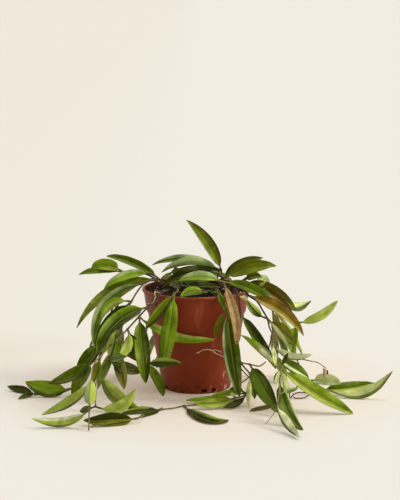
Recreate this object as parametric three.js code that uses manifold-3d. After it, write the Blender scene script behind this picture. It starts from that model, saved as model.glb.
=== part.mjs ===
import * as THREE from 'three';
import { mergeVertices } from 'three/addons/utils/BufferGeometryUtils.js';
import Module from 'manifold-3d';

// A potted wax plant: a round plastic nursery pot, its potting mix, and trailing
// stems with narrow leathery leaves in pairs. Millimetres, +Z up, front towards -Y.
// The origin is the centre of the pot's foot, on the surface it stands on.

const wasm = await Module();
wasm.setup();

// Nursery pot
const POT_HEIGHT = 113;
const FOOT_RADIUS = 37.6;
const WALL_TOP_RADIUS = 54.2;
const COLLAR_FOOT_RADIUS = 55.6;
const COLLAR_TOP_RADIUS = 58.8;
const LIP_RADIUS = 60.5;
const COLLAR_HEIGHT = 25.5;
const LIP_HEIGHT = 3;
const POT_WALL = 1.4;
const POT_FLOOR = 1.6;
const POT_SIDES = 32;
const SLOT_PAIRS = 4;
const SLOT_HALF_SPREAD = 8.5;
const SLOT_FIRST_ANGLE = -68;
const SLOT_WIDTH = 5.4;
const SLOT_TOP = 5.6;
const SLOT_DEPTH = 9;

// Potting mix
const SOIL_EDGE = 107;
const SOIL_MOUND = 2.4;
const SOIL_RINGS = 3;
const SOIL_SIDES = 18;
const SOIL_ROUGHNESS = 0.9;
const SEAT_GAP = 0.3;

// Stems and leaves
const STEM_SIDES = 4;
const STEM_STEP = 18.5;
const STEM_RADIUS = 1.2;
const STEM_TIP_RADIUS = 0.8;
const NODE_SWELL = 1.3;
const STEM_DEPTH = 20;
const HOLE_GAP = 0.45;
const PETIOLE_LENGTH = 5.5;
const PETIOLE_WIDTH = 2.4;
const PETIOLE_THICKNESS = 2;
const BLADE_THICKNESS = 1.0;
const LONG_BLADE = 76;
const LONG_STATIONS = [0, 0.2, 0.48, 0.78, 1];
const SHORT_STATIONS = [0, 0.28, 0.68, 1];
const WIDEST_AT = 0.44;
const TAPER = 1.5;
const TIP_WIDTH = 0.9;
const MARGIN_LIFT = 20;
const SURFACE_CLEARANCE = 0.35;

// Front view of the plant. A point is given as across, up and depth: across and up are
// read where a sight line from the eye point crosses the upright plane through the pot's
// axis, and depth is how far the point lies behind that plane (negative is in front).
const EYE_ACROSS = 4.1;
const EYE_DISTANCE = 1800;
const EYE_HEIGHT = 452;

function place([across, up, depth]) {
  const scale = (EYE_DISTANCE + depth) / EYE_DISTANCE;
  const x = EYE_ACROSS + (across - EYE_ACROSS) * scale;
  const z = EYE_HEIGHT + (up - EYE_HEIGHT) * scale;
  return new THREE.Vector3(x, depth, z);
}

const radians = THREE.MathUtils.degToRad;

// Repeatable draw between 0 and 1.
function makeDraw(seed) {
  let state = seed >>> 0;
  return () => {
    state = (Math.imul(state, 1664525) + 1013904223) >>> 0;
    return state / 4294967296;
  };
}

// Solids
function toSolid(geometry) {
  const bare = new THREE.BufferGeometry();
  bare.setAttribute('position', geometry.getAttribute('position').clone());
  if (geometry.index) {
    bare.setIndex(geometry.index.clone());
  }
  const merged = mergeVertices(bare, 1e-4);
  const mesh = new wasm.Mesh({
    numProp: 3,
    vertProperties: new Float32Array(merged.getAttribute('position').array),
    triVerts: new Uint32Array(merged.index.array),
  });
  return new wasm.Manifold(mesh);
}

function toGeometry(solid) {
  const mesh = solid.getMesh();
  const geometry = new THREE.BufferGeometry();
  geometry.setAttribute('position', new THREE.BufferAttribute(mesh.vertProperties, 3));
  geometry.setIndex(new THREE.BufferAttribute(mesh.triVerts, 1));
  geometry.computeVertexNormals();
  return geometry;
}

function fromLists(points, triangles) {
  const geometry = new THREE.BufferGeometry();
  const flat = points.flatMap((p) => [p.x, p.y, p.z]);
  geometry.setAttribute('position', new THREE.Float32BufferAttribute(flat, 3));
  geometry.setIndex(triangles.flat());
  return geometry;
}

// Pot: one closed turned wall with a flat foot, a stepped collar and a rolled lip.
function potProfile() {
  const collarFoot = POT_HEIGHT - COLLAR_HEIGHT;
  const lipFoot = POT_HEIGHT - LIP_HEIGHT;
  return [
    [0, 0],
    [FOOT_RADIUS, 0],
    [FOOT_RADIUS + 0.9, 1.2],
    [FOOT_RADIUS + 1.3, 5.4],
    [WALL_TOP_RADIUS, collarFoot - 1.4],
    [COLLAR_FOOT_RADIUS, collarFoot],
    [COLLAR_TOP_RADIUS, lipFoot - 0.8],
    [LIP_RADIUS, lipFoot],
    [LIP_RADIUS, POT_HEIGHT - 0.8],
    [LIP_RADIUS - 0.8, POT_HEIGHT],
    [LIP_RADIUS - 2.4, POT_HEIGHT],
    [COLLAR_TOP_RADIUS - POT_WALL, lipFoot - 1.6],
    [COLLAR_FOOT_RADIUS - POT_WALL, collarFoot + 0.6],
    [WALL_TOP_RADIUS - POT_WALL, collarFoot - 1.2],
    [FOOT_RADIUS + 1.3 - POT_WALL, 6],
    [FOOT_RADIUS - 0.6, POT_FLOOR],
    [0, POT_FLOOR],
  ];
}

function lathe(profile, sides) {
  const points = profile.map(([r, z]) => new THREE.Vector2(r, z));
  const geometry = new THREE.LatheGeometry(points, sides);
  geometry.rotateX(Math.PI / 2);
  return toSolid(geometry);
}

function drainSlots() {
  const slots = [];
  for (let pair = 0; pair < SLOT_PAIRS; pair += 1) {
    for (const side of [-1, 1]) {
      const box = new THREE.BoxGeometry(SLOT_DEPTH, SLOT_WIDTH, SLOT_TOP - 2);
      const angle = SLOT_FIRST_ANGLE + (pair * 360) / SLOT_PAIRS + side * SLOT_HALF_SPREAD;
      box.translate(FOOT_RADIUS, 0, (SLOT_TOP + 2) / 2);
      box.rotateZ(radians(angle));
      slots.push(toSolid(box));
    }
  }
  return wasm.Manifold.union(slots);
}

// Potting mix: fills the pot to just under its lip, with a low uneven mound on top.
function soilSurface(x, y) {
  const spread = Math.min(1, Math.hypot(x, y) / COLLAR_TOP_RADIUS);
  return SOIL_EDGE + SOIL_MOUND * (1 - spread * spread);
}

function soilWall() {
  const collarFoot = POT_HEIGHT - COLLAR_HEIGHT;
  const lipFoot = POT_HEIGHT - LIP_HEIGHT;
  const inner = POT_WALL + SEAT_GAP + 0.4;
  const rimShare = (SOIL_EDGE - collarFoot) / (lipFoot - collarFoot);
  const rimRadius = THREE.MathUtils.lerp(COLLAR_FOOT_RADIUS, COLLAR_TOP_RADIUS, rimShare);
  return [
    [FOOT_RADIUS - 1.4, POT_FLOOR + SEAT_GAP],
    [FOOT_RADIUS + 1.2 - inner, 6.6],
    [WALL_TOP_RADIUS - inner, collarFoot - 1.2],
    [COLLAR_FOOT_RADIUS - inner, collarFoot + 1],
    [rimRadius - inner, SOIL_EDGE],
  ];
}

function soilBody() {
  const draw = makeDraw(41);
  const wall = soilWall();
  const points = [new THREE.Vector3(0, 0, wall[0][1])];
  const rows = wall.map(([r, z]) => [r, () => z]);
  const edge = wall[wall.length - 1][0];
  for (let ring = SOIL_RINGS - 1; ring > 0; ring -= 1) {
    const r = (edge * ring) / SOIL_RINGS;
    rows.push([r, () => soilSurface(r, 0) + (draw() - 0.5) * 2 * SOIL_ROUGHNESS]);
  }
  for (const [r, height] of rows) {
    for (let i = 0; i < SOIL_SIDES; i += 1) {
      const angle = (i / SOIL_SIDES) * Math.PI * 2;
      points.push(new THREE.Vector3(r * Math.cos(angle), r * Math.sin(angle), height()));
    }
  }
  points.push(new THREE.Vector3(0, 0, soilSurface(0, 0)));
  const at = (row, i) => 1 + row * SOIL_SIDES + (i % SOIL_SIDES);
  const triangles = [];
  for (let i = 0; i < SOIL_SIDES; i += 1) {
    triangles.push([0, at(0, i + 1), at(0, i)]);
    for (let row = 0; row < rows.length - 1; row += 1) {
      triangles.push([at(row, i), at(row, i + 1), at(row + 1, i + 1)]);
      triangles.push([at(row, i), at(row + 1, i + 1), at(row + 1, i)]);
    }
    triangles.push([at(rows.length - 1, i), at(rows.length - 1, i + 1), points.length - 1]);
  }
  return toSolid(fromLists(points, triangles));
}

// Stem: a four-sided tube along a smooth curve, a little swollen where leaves spring.
function stemCurve(root, points) {
  const foot = soilSurface(root[0], root[1]) + 4;
  return [new THREE.Vector3(root[0], root[1], foot), ...points];
}

function stemStations(points, nodes) {
  const curve = new THREE.CatmullRomCurve3(points, false, 'centripetal');
  const spans = points.length - 1;
  const stations = [];
  for (let i = 0; i < spans; i += 1) {
    const length = points[i].distanceTo(points[i + 1]);
    const cuts = Math.max(1, Math.ceil(length / STEM_STEP));
    for (let cut = 0; cut < cuts; cut += 1) {
      const along = (i + cut / cuts) / spans;
      const swell = cut === 0 && nodes.has(i - 1) ? NODE_SWELL : 1;
      const radius = THREE.MathUtils.lerp(STEM_RADIUS, STEM_TIP_RADIUS, along) * swell;
      stations.push({ point: curve.getPoint(along), radius });
    }
  }
  stations.push({ point: curve.getPoint(1), radius: STEM_TIP_RADIUS });
  return stations;
}

function tube(stations) {
  const points = [];
  const side = new THREE.Vector3(1, 0, 0);
  stations.forEach(({ point, radius }, i) => {
    const before = stations[Math.max(0, i - 1)].point;
    const after = stations[Math.min(stations.length - 1, i + 1)].point;
    const along = after.clone().sub(before).normalize();
    side.addScaledVector(along, -side.dot(along)).normalize();
    const up = along.clone().cross(side);
    for (let k = 0; k < STEM_SIDES; k += 1) {
      const angle = (k / STEM_SIDES) * Math.PI * 2;
      const corner = point.clone();
      corner.addScaledVector(side, radius * Math.cos(angle));
      corner.addScaledVector(up, radius * Math.sin(angle));
      corner.z = Math.max(corner.z, SURFACE_CLEARANCE);
      points.push(corner);
    }
  });
  const at = (row, k) => row * STEM_SIDES + (k % STEM_SIDES);
  const last = stations.length - 1;
  const triangles = [];
  for (let row = 0; row < last; row += 1) {
    for (let k = 0; k < STEM_SIDES; k += 1) {
      triangles.push([at(row, k), at(row, k + 1), at(row + 1, k + 1)]);
      triangles.push([at(row, k), at(row + 1, k + 1), at(row + 1, k)]);
    }
  }
  for (let k = 1; k < STEM_SIDES - 1; k += 1) {
    triangles.push([0, at(0, k + 1), at(0, k)]);
    triangles.push([at(last, 0), at(last, k), at(last, k + 1)]);
  }
  return toSolid(fromLists(points, triangles));
}

function rootedEnd(root) {
  const top = soilSurface(root[0], root[1]) + 4;
  const cylinder = new THREE.CylinderGeometry(STEM_RADIUS, STEM_RADIUS, STEM_DEPTH + 4, 6);
  cylinder.rotateX(Math.PI / 2);
  cylinder.translate(root[0], root[1], top - (STEM_DEPTH + 4) / 2);
  return toSolid(cylinder);
}

function stemHole(root) {
  const top = soilSurface(root[0], root[1]);
  const radius = STEM_RADIUS + HOLE_GAP;
  const depth = STEM_DEPTH + HOLE_GAP + 12;
  const cylinder = new THREE.CylinderGeometry(radius, radius, depth, 6);
  cylinder.rotateX(Math.PI / 2);
  cylinder.translate(root[0], root[1], top - STEM_DEPTH - HOLE_GAP + depth / 2);
  return toSolid(cylinder);
}

// Leaf: a short thick stalk and a lance-shaped blade, channelled along its midrib, on
// an arching centre line. "face" turns the blade about its length: 0 shows the upper
// side to the front, 90 turns it up, 180 shows the underside. "rise" and "near" bow the
// centre line upward and forward as shares of its length, "roll" twists it to the tip,
// "taper" below the usual value keeps the blade wide for more of its length.
function bladeWidth(share, taper) {
  if (share <= 0) {
    return 0;
  }
  const root = (share / WIDEST_AT) ** (taper * WIDEST_AT);
  const point = ((1 - share) / (1 - WIDEST_AT)) ** (taper * (1 - WIDEST_AT));
  return root * point;
}

const TO_FRONT = new THREE.Vector3(0, -1, 0);

function leafFrame(along, chord, front, turn) {
  const facing = front.clone().addScaledVector(along, -front.dot(along)).normalize();
  const sign = chord.clone().cross(front).z < 0 ? -1 : 1;
  const up = along.clone().cross(facing).multiplyScalar(sign);
  const normal = facing.multiplyScalar(Math.cos(turn)).addScaledVector(up, Math.sin(turn));
  const side = along.clone().cross(normal);
  return { normal, side };
}

function leafSolid(base, tip, front, leaf) {
  const chord = tip.clone().sub(base);
  const length = chord.length();
  const mid = leafFrame(chord.clone().normalize(), chord, front, radians(90));
  const bow = mid.normal.clone().multiplyScalar((leaf.rise ?? 0) * length);
  bow.addScaledVector(front, (leaf.near ?? 0) * length);
  const stalk = Math.min(PETIOLE_LENGTH / length, 0.3);
  const cuts = length > LONG_BLADE ? LONG_STATIONS : SHORT_STATIONS;
  const stations = [0, ...cuts.map((s) => stalk + s * (1 - stalk))];
  const points = [];
  for (const s of stations) {
    const share = (s - stalk) / (1 - stalk);
    const centre = base.clone().addScaledVector(chord, s);
    centre.addScaledVector(bow, 4 * s * (1 - s));
    const along = chord.clone().addScaledVector(bow, 4 - 8 * s).normalize();
    const turn = radians(leaf.face + (leaf.roll ?? 0) * s);
    const { normal, side } = leafFrame(along, chord, front, turn);
    const bladed = share > 0.02;
    const least = bladed ? TIP_WIDTH : PETIOLE_WIDTH;
    const half = Math.max(leaf.wide * bladeWidth(share, leaf.taper ?? TAPER), least) / 2;
    const thick = (bladed ? BLADE_THICKNESS : PETIOLE_THICKNESS) / 2;
    const lift = radians(bladed ? leaf.fold ?? MARGIN_LIFT : 0);
    points.push(...leafSection(centre, normal, side, half, thick, lift));
  }
  return toSolid(fromLists(points, leafTriangles(stations.length)));
}

function leafSection(centre, normal, side, half, thick, lift) {
  const out = half * Math.cos(lift);
  const high = half * Math.sin(lift);
  const section = [];
  for (const face of [thick, -thick]) {
    for (const across of [-1, 0, 1]) {
      const corner = centre.clone().addScaledVector(side, across * out);
      corner.addScaledVector(normal, Math.abs(across) * high + face);
      section.push(corner);
    }
  }
  const lowest = Math.min(...section.map((corner) => corner.z));
  if (lowest < SURFACE_CLEARANCE) {
    section.forEach((corner) => {
      corner.z += SURFACE_CLEARANCE - lowest;
    });
  }
  return section;
}

// Both faces of the blade are cut along the same diagonals.
function leafTriangles(count) {
  const triangles = [[0, 4, 1], [0, 3, 4], [1, 5, 2], [1, 4, 5]];
  for (let row = 0; row < count - 1; row += 1) {
    const a = row * 6;
    const b = a + 6;
    for (const k of [0, 1]) {
      triangles.push([a + k, a + k + 1, b + k + 1], [a + k, b + k + 1, b + k]);
      triangles.push([a + k + 3, b + k + 4, a + k + 4], [a + k + 3, b + k + 3, b + k + 4]);
    }
    triangles.push([a, b, b + 3], [a, b + 3, a + 3]);
    triangles.push([a + 2, a + 5, b + 5], [a + 2, b + 5, b + 2]);
  }
  const e = (count - 1) * 6;
  triangles.push([e, e + 1, e + 4], [e, e + 4, e + 3]);
  triangles.push([e + 1, e + 2, e + 5], [e + 1, e + 5, e + 4]);
  return triangles;
}

// Leafy stems. "root" is where the stem enters the potting mix (x, y), "stem" the points
// it runs through in the front view, and each leaf springs "on" one of those points.
const VINES = [
  {
    name: 'left_inner_vine',
    root: [-30, -6],
    stem: [
      [-38, 116, -9],
      [-48, 121, -13],
      [-57, 118, -20],
      [-64, 111, -36],
      [-72.5, 97, -56],
      [-80, 80, -66],
      [-85.5, 60, -74],
      [-92, 45, -84],
      [-99.5, 30, -98],
      [-108, 16, -114],
      [-114, 0, -130],
      [-114, -24, -146],
    ],
    leaves: [
      { on: 2, tip: [-114, 40, -34], wide: 15, face: 25, rise: 0.22 },
      { on: 4, tip: [-107, 75, -60], wide: 12, face: 165, rise: 0.22 },
      { on: 4, tip: [-114, 40, -72], wide: 17, face: 20, rise: 0.06, near: 0 },
      { on: 6, tip: [-108, 39, -78], wide: 14, face: 150, near: -0.1 },
      { on: 6, tip: [-91, 31, -98], wide: 9, face: 20 },
      { on: 7, tip: [-60, 26, -60], wide: 11, face: 60 },
      { on: 7, tip: [-81, -4, -88], wide: 15, face: 20 },
      { on: 8, tip: [-79, 34, -128], wide: 10, face: 40 },
      { on: 8, tip: [-60, 16.5, -66], wide: 14, face: 20, rise: -0.04 },
      { on: 9, tip: [-64, -26, -112], wide: 18, face: 30, rise: -0.15 },
      { on: 11, tip: [-69, -3, -140], wide: 15, face: 170, rise: -0.26 },
      { on: 11, tip: [-132, -30, -128], wide: 8, face: 30 },
      { on: 7, tip: [-112, -4, -118], wide: 11, face: 20 },
    ],
  },
  {
    name: 'left_front_vine',
    root: [-22, -22],
    stem: [
      [-30, 110, -34],
      [-40, 106, -50],
      [-54, 91, -60],
      [-64, 80, -72],
      [-77, 65.5, -86],
      [-86, 56, -96],
      [-96, 47, -106],
      [-107, 35, -118],
      [-115, 26, -132],
      [-118.5, 5, -152],
      [-121, -27, -178],
      [-122, -52.5, -189],
    ],
    leaves: [
      { on: 2, tip: [-111, 37, -88], wide: 21.5, face: 40, rise: 0.14, near: 0.08, taper: 1.05 },
      { on: 3, tip: [-57, 3, -94], wide: 18.5, face: 0, fold: 25, taper: 1.2 },
      { on: 3, tip: [20, 54, -60], wide: 14, face: 50, rise: -0.15, near: -0.07, taper: 1.1 },
      { on: 4, tip: [-88.5, 31.5, -108], wide: 12.5, face: 170, rise: -0.17, taper: 1.3 },
      { on: 4, tip: [-60, 22, -72], wide: 13, face: 20 },
      { on: 9, tip: [-175, -33, -138], wide: 13, face: 165, rise: -0.09 },
      { on: 10, tip: [-118.5, 6, -158], wide: 14, face: 180, taper: 1 },
      { on: 10, tip: [-186, -37, -178], wide: 13, face: 160, rise: -0.19 },
      { on: 7, tip: [-117, 2, -134], wide: 10, face: 20 },
    ],
  },
  {
    name: 'left_crown_stem',
    root: [-25, 2],
    stem: [
      [-34, 116, 4],
      [-41, 122, 6],
      [-50, 129, 8],
      [-66, 131, 8],
      [-82, 131, 6],
    ],
    leaves: [
      { on: 1, tip: [-100, 149, 25], wide: 12.5, face: 45, rise: 0.06, taper: 1.1 },
      { on: 2, tip: [-104, 111, -12], wide: 16, face: 55, rise: 0.08 },
      { on: 1, tip: [-134.5, 67, -20], wide: 15, face: 40, rise: 0.14 },
      { on: 4, tip: [-117, 136, 10], wide: 17, face: 40, rise: 0.1, taper: 1 },
      { on: 4, tip: [-131, 128, 0], wide: 14, face: 60, rise: 0.03 },
    ],
  },
  {
    name: 'left_floor_vine',
    root: [-20, 15],
    stem: [
      [-30, 120, 26],
      [-50, 122.5, 38],
      [-70, 118, 36],
      [-86, 104, 16],
      [-95, 86, 4],
      [-100, 68, -4],
      [-105, 52, -14],
      [-117, 30, -28],
      [-130, 10, -40],
      [-141, -3, -48],
      [-160, -10, -46],
      [-180, -9.5, -42],
    ],
    leaves: [
      { on: 6, tip: [-136, 13, -30], wide: 18, face: 20 },
      { on: 7, tip: [-167, 3, -52], wide: 15, face: 25, rise: -0.08 },
      { on: 9, tip: [-193, 5, -48], wide: 20, face: 22, rise: -0.1 },
      { on: 11, tip: [-213.5, 0, -20], wide: 10, face: 30, rise: -0.03 },
      { on: 11, tip: [-201, -17, -62], wide: 7, face: 40, rise: 0.08 },
      { on: 7, tip: [-141, -10, -52], wide: 17, face: 20 },
      { on: 0, tip: [20, 122, 31], wide: 14, face: 25, rise: 0.03 },
    ],
  },
  {
    name: 'rim_pair_stem',
    root: [-16, -33],
    stem: [
      [-21, 108, -46],
      [-24.5, 106, -60],
    ],
    leaves: [
      { on: 1, tip: [-38, 19, -60], wide: 18, face: 0, near: 0.15, taper: 1.2 },
      { on: 1, tip: [-57, 66, -75], wide: 12, face: 20, near: 0.06, taper: 1.2 },
      { on: 0, tip: [-19, 121, -20], wide: 16, face: 30 },
    ],
  },
  {
    name: 'pot_front_stem',
    root: [-40, -20],
    stem: [
      [-46, 109, -41],
      [-44, 96, -51],
      [-47, 84, -54],
      [-54, 70, -56],
      [-57, 58, -57],
      [-58, 42, -65],
      [-58, 26, -76],
    ],
    leaves: [
      { on: 6, tip: [-17, 26.5, -96], wide: 12, face: 35 },
      { on: 6, tip: [-37, -12, -58], wide: 12, face: 20, rise: 0.06, taper: 1.1 },
      { on: 6, tip: [-42, 13.5, -64], wide: 6, face: 60 },
    ],
  },
  {
    name: 'middle_back_stem',
    root: [28, 14],
    stem: [
      [28, 122, 14],
      [28, 132, 10],
    ],
    leaves: [
      { on: 1, tip: [-10.5, 189, -20], wide: 15, face: 15, rise: 0.06 },
      { on: 1, tip: [-49, 139, 40], wide: 15, face: 60, rise: 0.1 },
      { on: 1, tip: [-39, 130.5, 12], wide: 14, face: 50, rise: 0.15 },
      { on: 0, tip: [73.5, 147, -12], wide: 16, face: 45, rise: 0.045 },
    ],
  },
  {
    name: 'middle_stem',
    root: [27, -4],
    stem: [
      [29, 114, -5],
      [31, 124, -6],
    ],
    leaves: [
      { on: 1, tip: [-40, 112, -12], wide: 15, face: 40, rise: 0.15 },
      { on: 1, tip: [89, 138, -25], wide: 19, face: 40, rise: 0.05 },
      { on: 0, tip: [-16, 127, -2], wide: 12, face: 50, rise: 0.17 },
    ],
  },
  {
    name: 'middle_front_stem',
    root: [26, -20],
    stem: [
      [27, 112, -28],
      [30, 119, -37],
    ],
    leaves: [
      { on: 1, tip: [-20.5, 120, -34], wide: 15, face: 50, rise: 0.1 },
      { on: 1, tip: [88, 92, -53], wide: 16, face: 50, rise: 0.06, near: -0.12 },
      { on: 1, tip: [45, 47, -86], wide: 11.5, face: 0, rise: 0.07, near: 0.3, taper: 1 },
    ],
  },
  {
    name: 'rim_front_stem',
    root: [8, -34],
    stem: [
      [10, 108, -42],
      [12, 107, -50],
    ],
    leaves: [
      { on: 1, tip: [-18, 102, -66], wide: 15, face: 55, rise: 0.08 },
    ],
  },
  {
    name: 'right_inner_vine',
    root: [39, -18],
    stem: [
      [43, 115, -22],
      [52, 112, -31],
      [58, 104, -43],
      [68, 97, -56],
      [73.5, 88, -62],
      [79.5, 77.5, -68],
      [82, 67, -76],
      [86.5, 57, -84],
      [86, 49, -88],
      [90, 32, -98],
      [95, 20, -108],
      [94, 6, -130],
      [93, -10, -150],
      [91, -23, -164],
    ],
    leaves: [
      { on: 2, tip: [121, 58, -88], wide: 15, face: 30, rise: 0.1, near: 0.1 },
      { on: 5, tip: [56, 100, -62], wide: 11, face: 30, rise: -0.13 },
      { on: 5, tip: [105, 43, -84], wide: 9, face: 120 },
      { on: 5, tip: [110, 48, -60], wide: 18, face: 20 },
      { on: 8, tip: [130, 37, -105], wide: 12, face: 150, rise: -0.22, taper: 1.2 },
      { on: 10, tip: [51, 59, -86], wide: 12, face: 150, rise: 0 },
      { on: 8, tip: [88.6, 23, -110], wide: 5.5, face: 20 },
      { on: 10, tip: [103, 38, -112], wide: 5, face: 20 },
      { on: 9, tip: [127.5, 8.5, -106], wide: 15, face: 40 },
      { on: 10, tip: [177.5, -33, -122], wide: 20, face: 45, rise: -0.03, taper: 1.2 },
      { on: 10, tip: [103, -11, -130], wide: 9, face: 150, taper: 1.2 },
      { on: 11, tip: [120.5, -53, -186], wide: 15, face: 10, rise: -0.08, taper: 1.2 },
      { on: 13, tip: [118, -60, -222], wide: 12, face: 165, rise: -0.05 },
      { on: 13, tip: [59.6, -29, -150], wide: 7, face: 60, fold: 10, taper: 1 },
      { on: 10, tip: [88, 2.8, -130], wide: 7, face: 20 },
    ],
  },
  {
    name: 'right_centre_vine',
    root: [36, -27],
    stem: [
      [42, 112, -38],
      [47, 103, -54],
      [49, 84, -60],
      [46, 55, -64],
      [47, 33, -72],
      [51, 27, -80],
      [60, 25, -86],
      [72, 23, -92],
      [78, 28, -92],
    ],
    leaves: [
      { on: 2, tip: [90, 20, -84], wide: 13, face: 30, taper: 1.2 },
      { on: 1, tip: [57, 99, -72], wide: 6, face: 170 },
      { on: 6, tip: [92, -31, -134], wide: 20, face: 0, taper: 1.4 },
    ],
  },
  {
    name: 'front_right_vine',
    root: [12, -38],
    stem: [
      [22, 111, -49],
      [29, 102, -57],
      [35, 88, -62],
    ],
    leaves: [
      { on: 0, tip: [32, 86, -64], wide: 8, face: 25, rise: 0.02, near: 0.14 },
      { on: 2, tip: [21, 54, -66], wide: 9, face: 20, rise: 0.06 },
      { on: 2, tip: [49, -13.5, -94], wide: 20, face: 0, rise: -0.02, near: 0.05 },
    ],
  },
  {
    name: 'floor_runner',
    root: [28, -34],
    stem: [
      [35, 107.5, -45],
      [38, 104, -52.5],
      [39, 94, -53],
      [39, 70, -47],
      [42, 45, -46],
      [52, 24, -58],
      [61, 12, -66],
      [57, -9, -78],
      [45, -14, -88],
      [25, -20, -92],
      [0, -22, -88],
      [-14, -24, -92],
      [-26, -27.5, -101],
      [-39, -28.5, -107],
      [-56, -33, -126],
      [-66, -37.5, -158],
    ],
    leaves: [
      { on: 6, tip: [59, -24, -98], wide: 7, face: 160 },
      { on: 6, tip: [66, -15, -80], wide: 10, face: 20 },
      { on: 8, tip: [-3, -20, -104], wide: 14, face: 50, rise: -0.07, near: 0.06 },
      { on: 8, tip: [-12, -16, -76], wide: 13, face: 65, rise: -0.05 },
      { on: 7, tip: [14, -13.5, -60], wide: 10, face: 60, rise: 0.03 },
      { on: 7, tip: [31, -24.5, -106], wide: 11, face: 60, rise: -0.12 },
      { on: 11, tip: [36.5, -40, -150], wide: 15, face: 70, near: 0.42, taper: 1.1 },
      { on: 13, tip: [-86, -33, -126], wide: 11, face: 55 },
      { on: 13, tip: [-65, -38, -140], wide: 9, face: 30, rise: -0.12 },
      { on: 15, tip: [-128, -40, -172], wide: 16, face: 25, rise: -0.04 },
      { on: 15, tip: [-120, -47, -176], wide: 7, face: 80 },
    ],
  },
  {
    name: 'right_outer_vine',
    root: [25, 26],
    stem: [
      [38, 114, 22],
      [52, 119, 14],
      [62, 116, 8],
      [73, 113, 2],
      [88, 104, -4],
      [97, 95, -8],
      [107, 80, -14],
      [113, 73, -18],
      [112, 50, -26],
      [112, 34, -34],
      [118, 20, -37],
      [127, 6, -40],
      [140, -4, -46],
      [152, -6, -52],
    ],
    leaves: [
      { on: 2, tip: [82, 112, 22], wide: 12, face: 60, rise: 0.32 },
      { on: 1, tip: [112, 87, -30], wide: 17, face: 40, rise: 0.07 },
      { on: 3, tip: [75, 119, -16], wide: 8, face: 150 },
      { on: 5, tip: [128, 98, 4], wide: 17, face: 60, rise: -0.24 },
      { on: 7, tip: [157.5, 98, -10], wide: 13, face: 165, rise: -0.14, taper: 1.2 },
      { on: 7, tip: [109, 36, -34], wide: 13, face: 20, rise: 0.06 },
      { on: 11, tip: [163, 3, -44], wide: 16, face: 40, rise: 0.05, taper: 1.1 },
      { on: 12, tip: [201, 4, -30], wide: 16, face: 55, rise: -0.05 },
      { on: 13, tip: [220, 17.5, -58], wide: 15, face: 50, rise: -0.22 },
    ],
  },
];

// Stems at the back hang over the rim by a rule: they arch out of the pot, drop, and
// carry a pair of drooping leaves at each joint from the "first" on. "bearing" is the
// angle from +X in degrees.
const HANG_SEED = 17;
const HANGING = [
  { name: 'back_left_vine', root: [-12, 36], bearing: 112, reach: 84, lowest: 30, first: 1 },
  { name: 'back_right_vine', root: [8, 40], bearing: 70, reach: 82, lowest: 22, first: 1 },
  { name: 'left_side_vine', root: [-40, 16], bearing: 158, reach: 98, lowest: 40, first: 2 },
  { name: 'right_side_vine', root: [45, 6], bearing: 18, reach: 92, lowest: 36, first: 2 },
];
const HANG_TOP = 128;
const HANG_JOINTS = 3;
const HANG_LEAF_LENGTH = 60;
const HANG_LEAF_WIDTH = 14;
const HANG_SPLAY = 0.2;

function hangingVine({ name, root, bearing, reach, lowest, first }, draw) {
  const angle = radians(bearing);
  const out = new THREE.Vector3(Math.cos(angle), Math.sin(angle), 0);
  const across = new THREE.Vector3(-out.y, out.x, 0);
  const rise = new THREE.Vector3(root[0], root[1], HANG_TOP - 8).addScaledVector(out, 8);
  const points = [rise, out.clone().multiplyScalar(reach * 0.78).setZ(HANG_TOP - 4)];
  const leaves = [];
  for (let joint = 0; joint < HANG_JOINTS; joint += 1) {
    const drop = (joint + 1) / HANG_JOINTS;
    const point = out.clone().multiplyScalar(reach * (0.9 + 0.1 * Math.sin(drop * 3)));
    point.addScaledVector(across, (draw() - 0.5) * 10);
    point.z = THREE.MathUtils.lerp(HANG_TOP - 16, lowest, drop ** 0.9);
    points.push(point);
  }
  for (let joint = first; joint < points.length; joint += 1) {
    for (const hand of [-1, 1]) {
      const base = points[joint];
      const long = HANG_LEAF_LENGTH * (0.85 + 0.3 * draw());
      const splay = hand * (HANG_SPLAY + 0.12 * draw());
      const tip = base.clone().addScaledVector(across, splay * long);
      tip.addScaledVector(out, (0.16 + 0.3 * draw()) * long);
      tip.z = Math.max(3, base.z - long * (0.72 + 0.2 * draw()));
      const face = 20 + 30 * draw();
      const leaf = { wide: HANG_LEAF_WIDTH * (0.9 + 0.3 * draw()), face, rise: 0.08 };
      leaves.push({ base, tip, front: out, leaf });
    }
  }
  return { name, root, points, leaves };
}

function plannedVine({ name, root, stem, leaves }) {
  const points = stem.map(place);
  const placed = leaves.map((leaf) => {
    return { base: points[leaf.on], tip: place(leaf.tip), front: TO_FRONT, leaf };
  });
  return { name, root, points, leaves: placed };
}

function allVines() {
  const draw = makeDraw(HANG_SEED);
  const hanging = HANGING.map((vine) => hangingVine(vine, draw));
  return [...VINES.map(plannedVine), ...hanging];
}

function stemSolid({ root, points, leaves }) {
  const nodes = new Set(leaves.map(({ base }) => points.indexOf(base)));
  return tube(stemStations(stemCurve(root, points), nodes));
}

function vineSolid(vine) {
  const leaves = vine.leaves.map(({ base, tip, front, leaf }) => {
    return leafSolid(base, tip, front, leaf);
  });
  return wasm.Manifold.union([rootedEnd(vine.root), stemSolid(vine), ...leaves]);
}

// Assembly
const POT_COLOR = '#7d3324';
const SOIL_COLOR = '#33241b';
const LEAF_COLOR = '#47691c';

function addPart(group, name, solid, color, roughness) {
  const material = new THREE.MeshStandardMaterial({ color, roughness, metalness: 0 });
  const mesh = new THREE.Mesh(toGeometry(solid), material);
  mesh.name = name;
  group.add(mesh);
}

const plant = new THREE.Group();
plant.name = 'potted_hoya';

const pot = lathe(potProfile(), POT_SIDES).subtract(drainSlots());
addPart(plant, 'nursery_pot', pot, POT_COLOR, 0.45);

const vines = allVines();
const holes = wasm.Manifold.union(vines.map((vine) => stemHole(vine.root)));
addPart(plant, 'potting_mix', soilBody().subtract(holes), SOIL_COLOR, 0.95);

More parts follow.
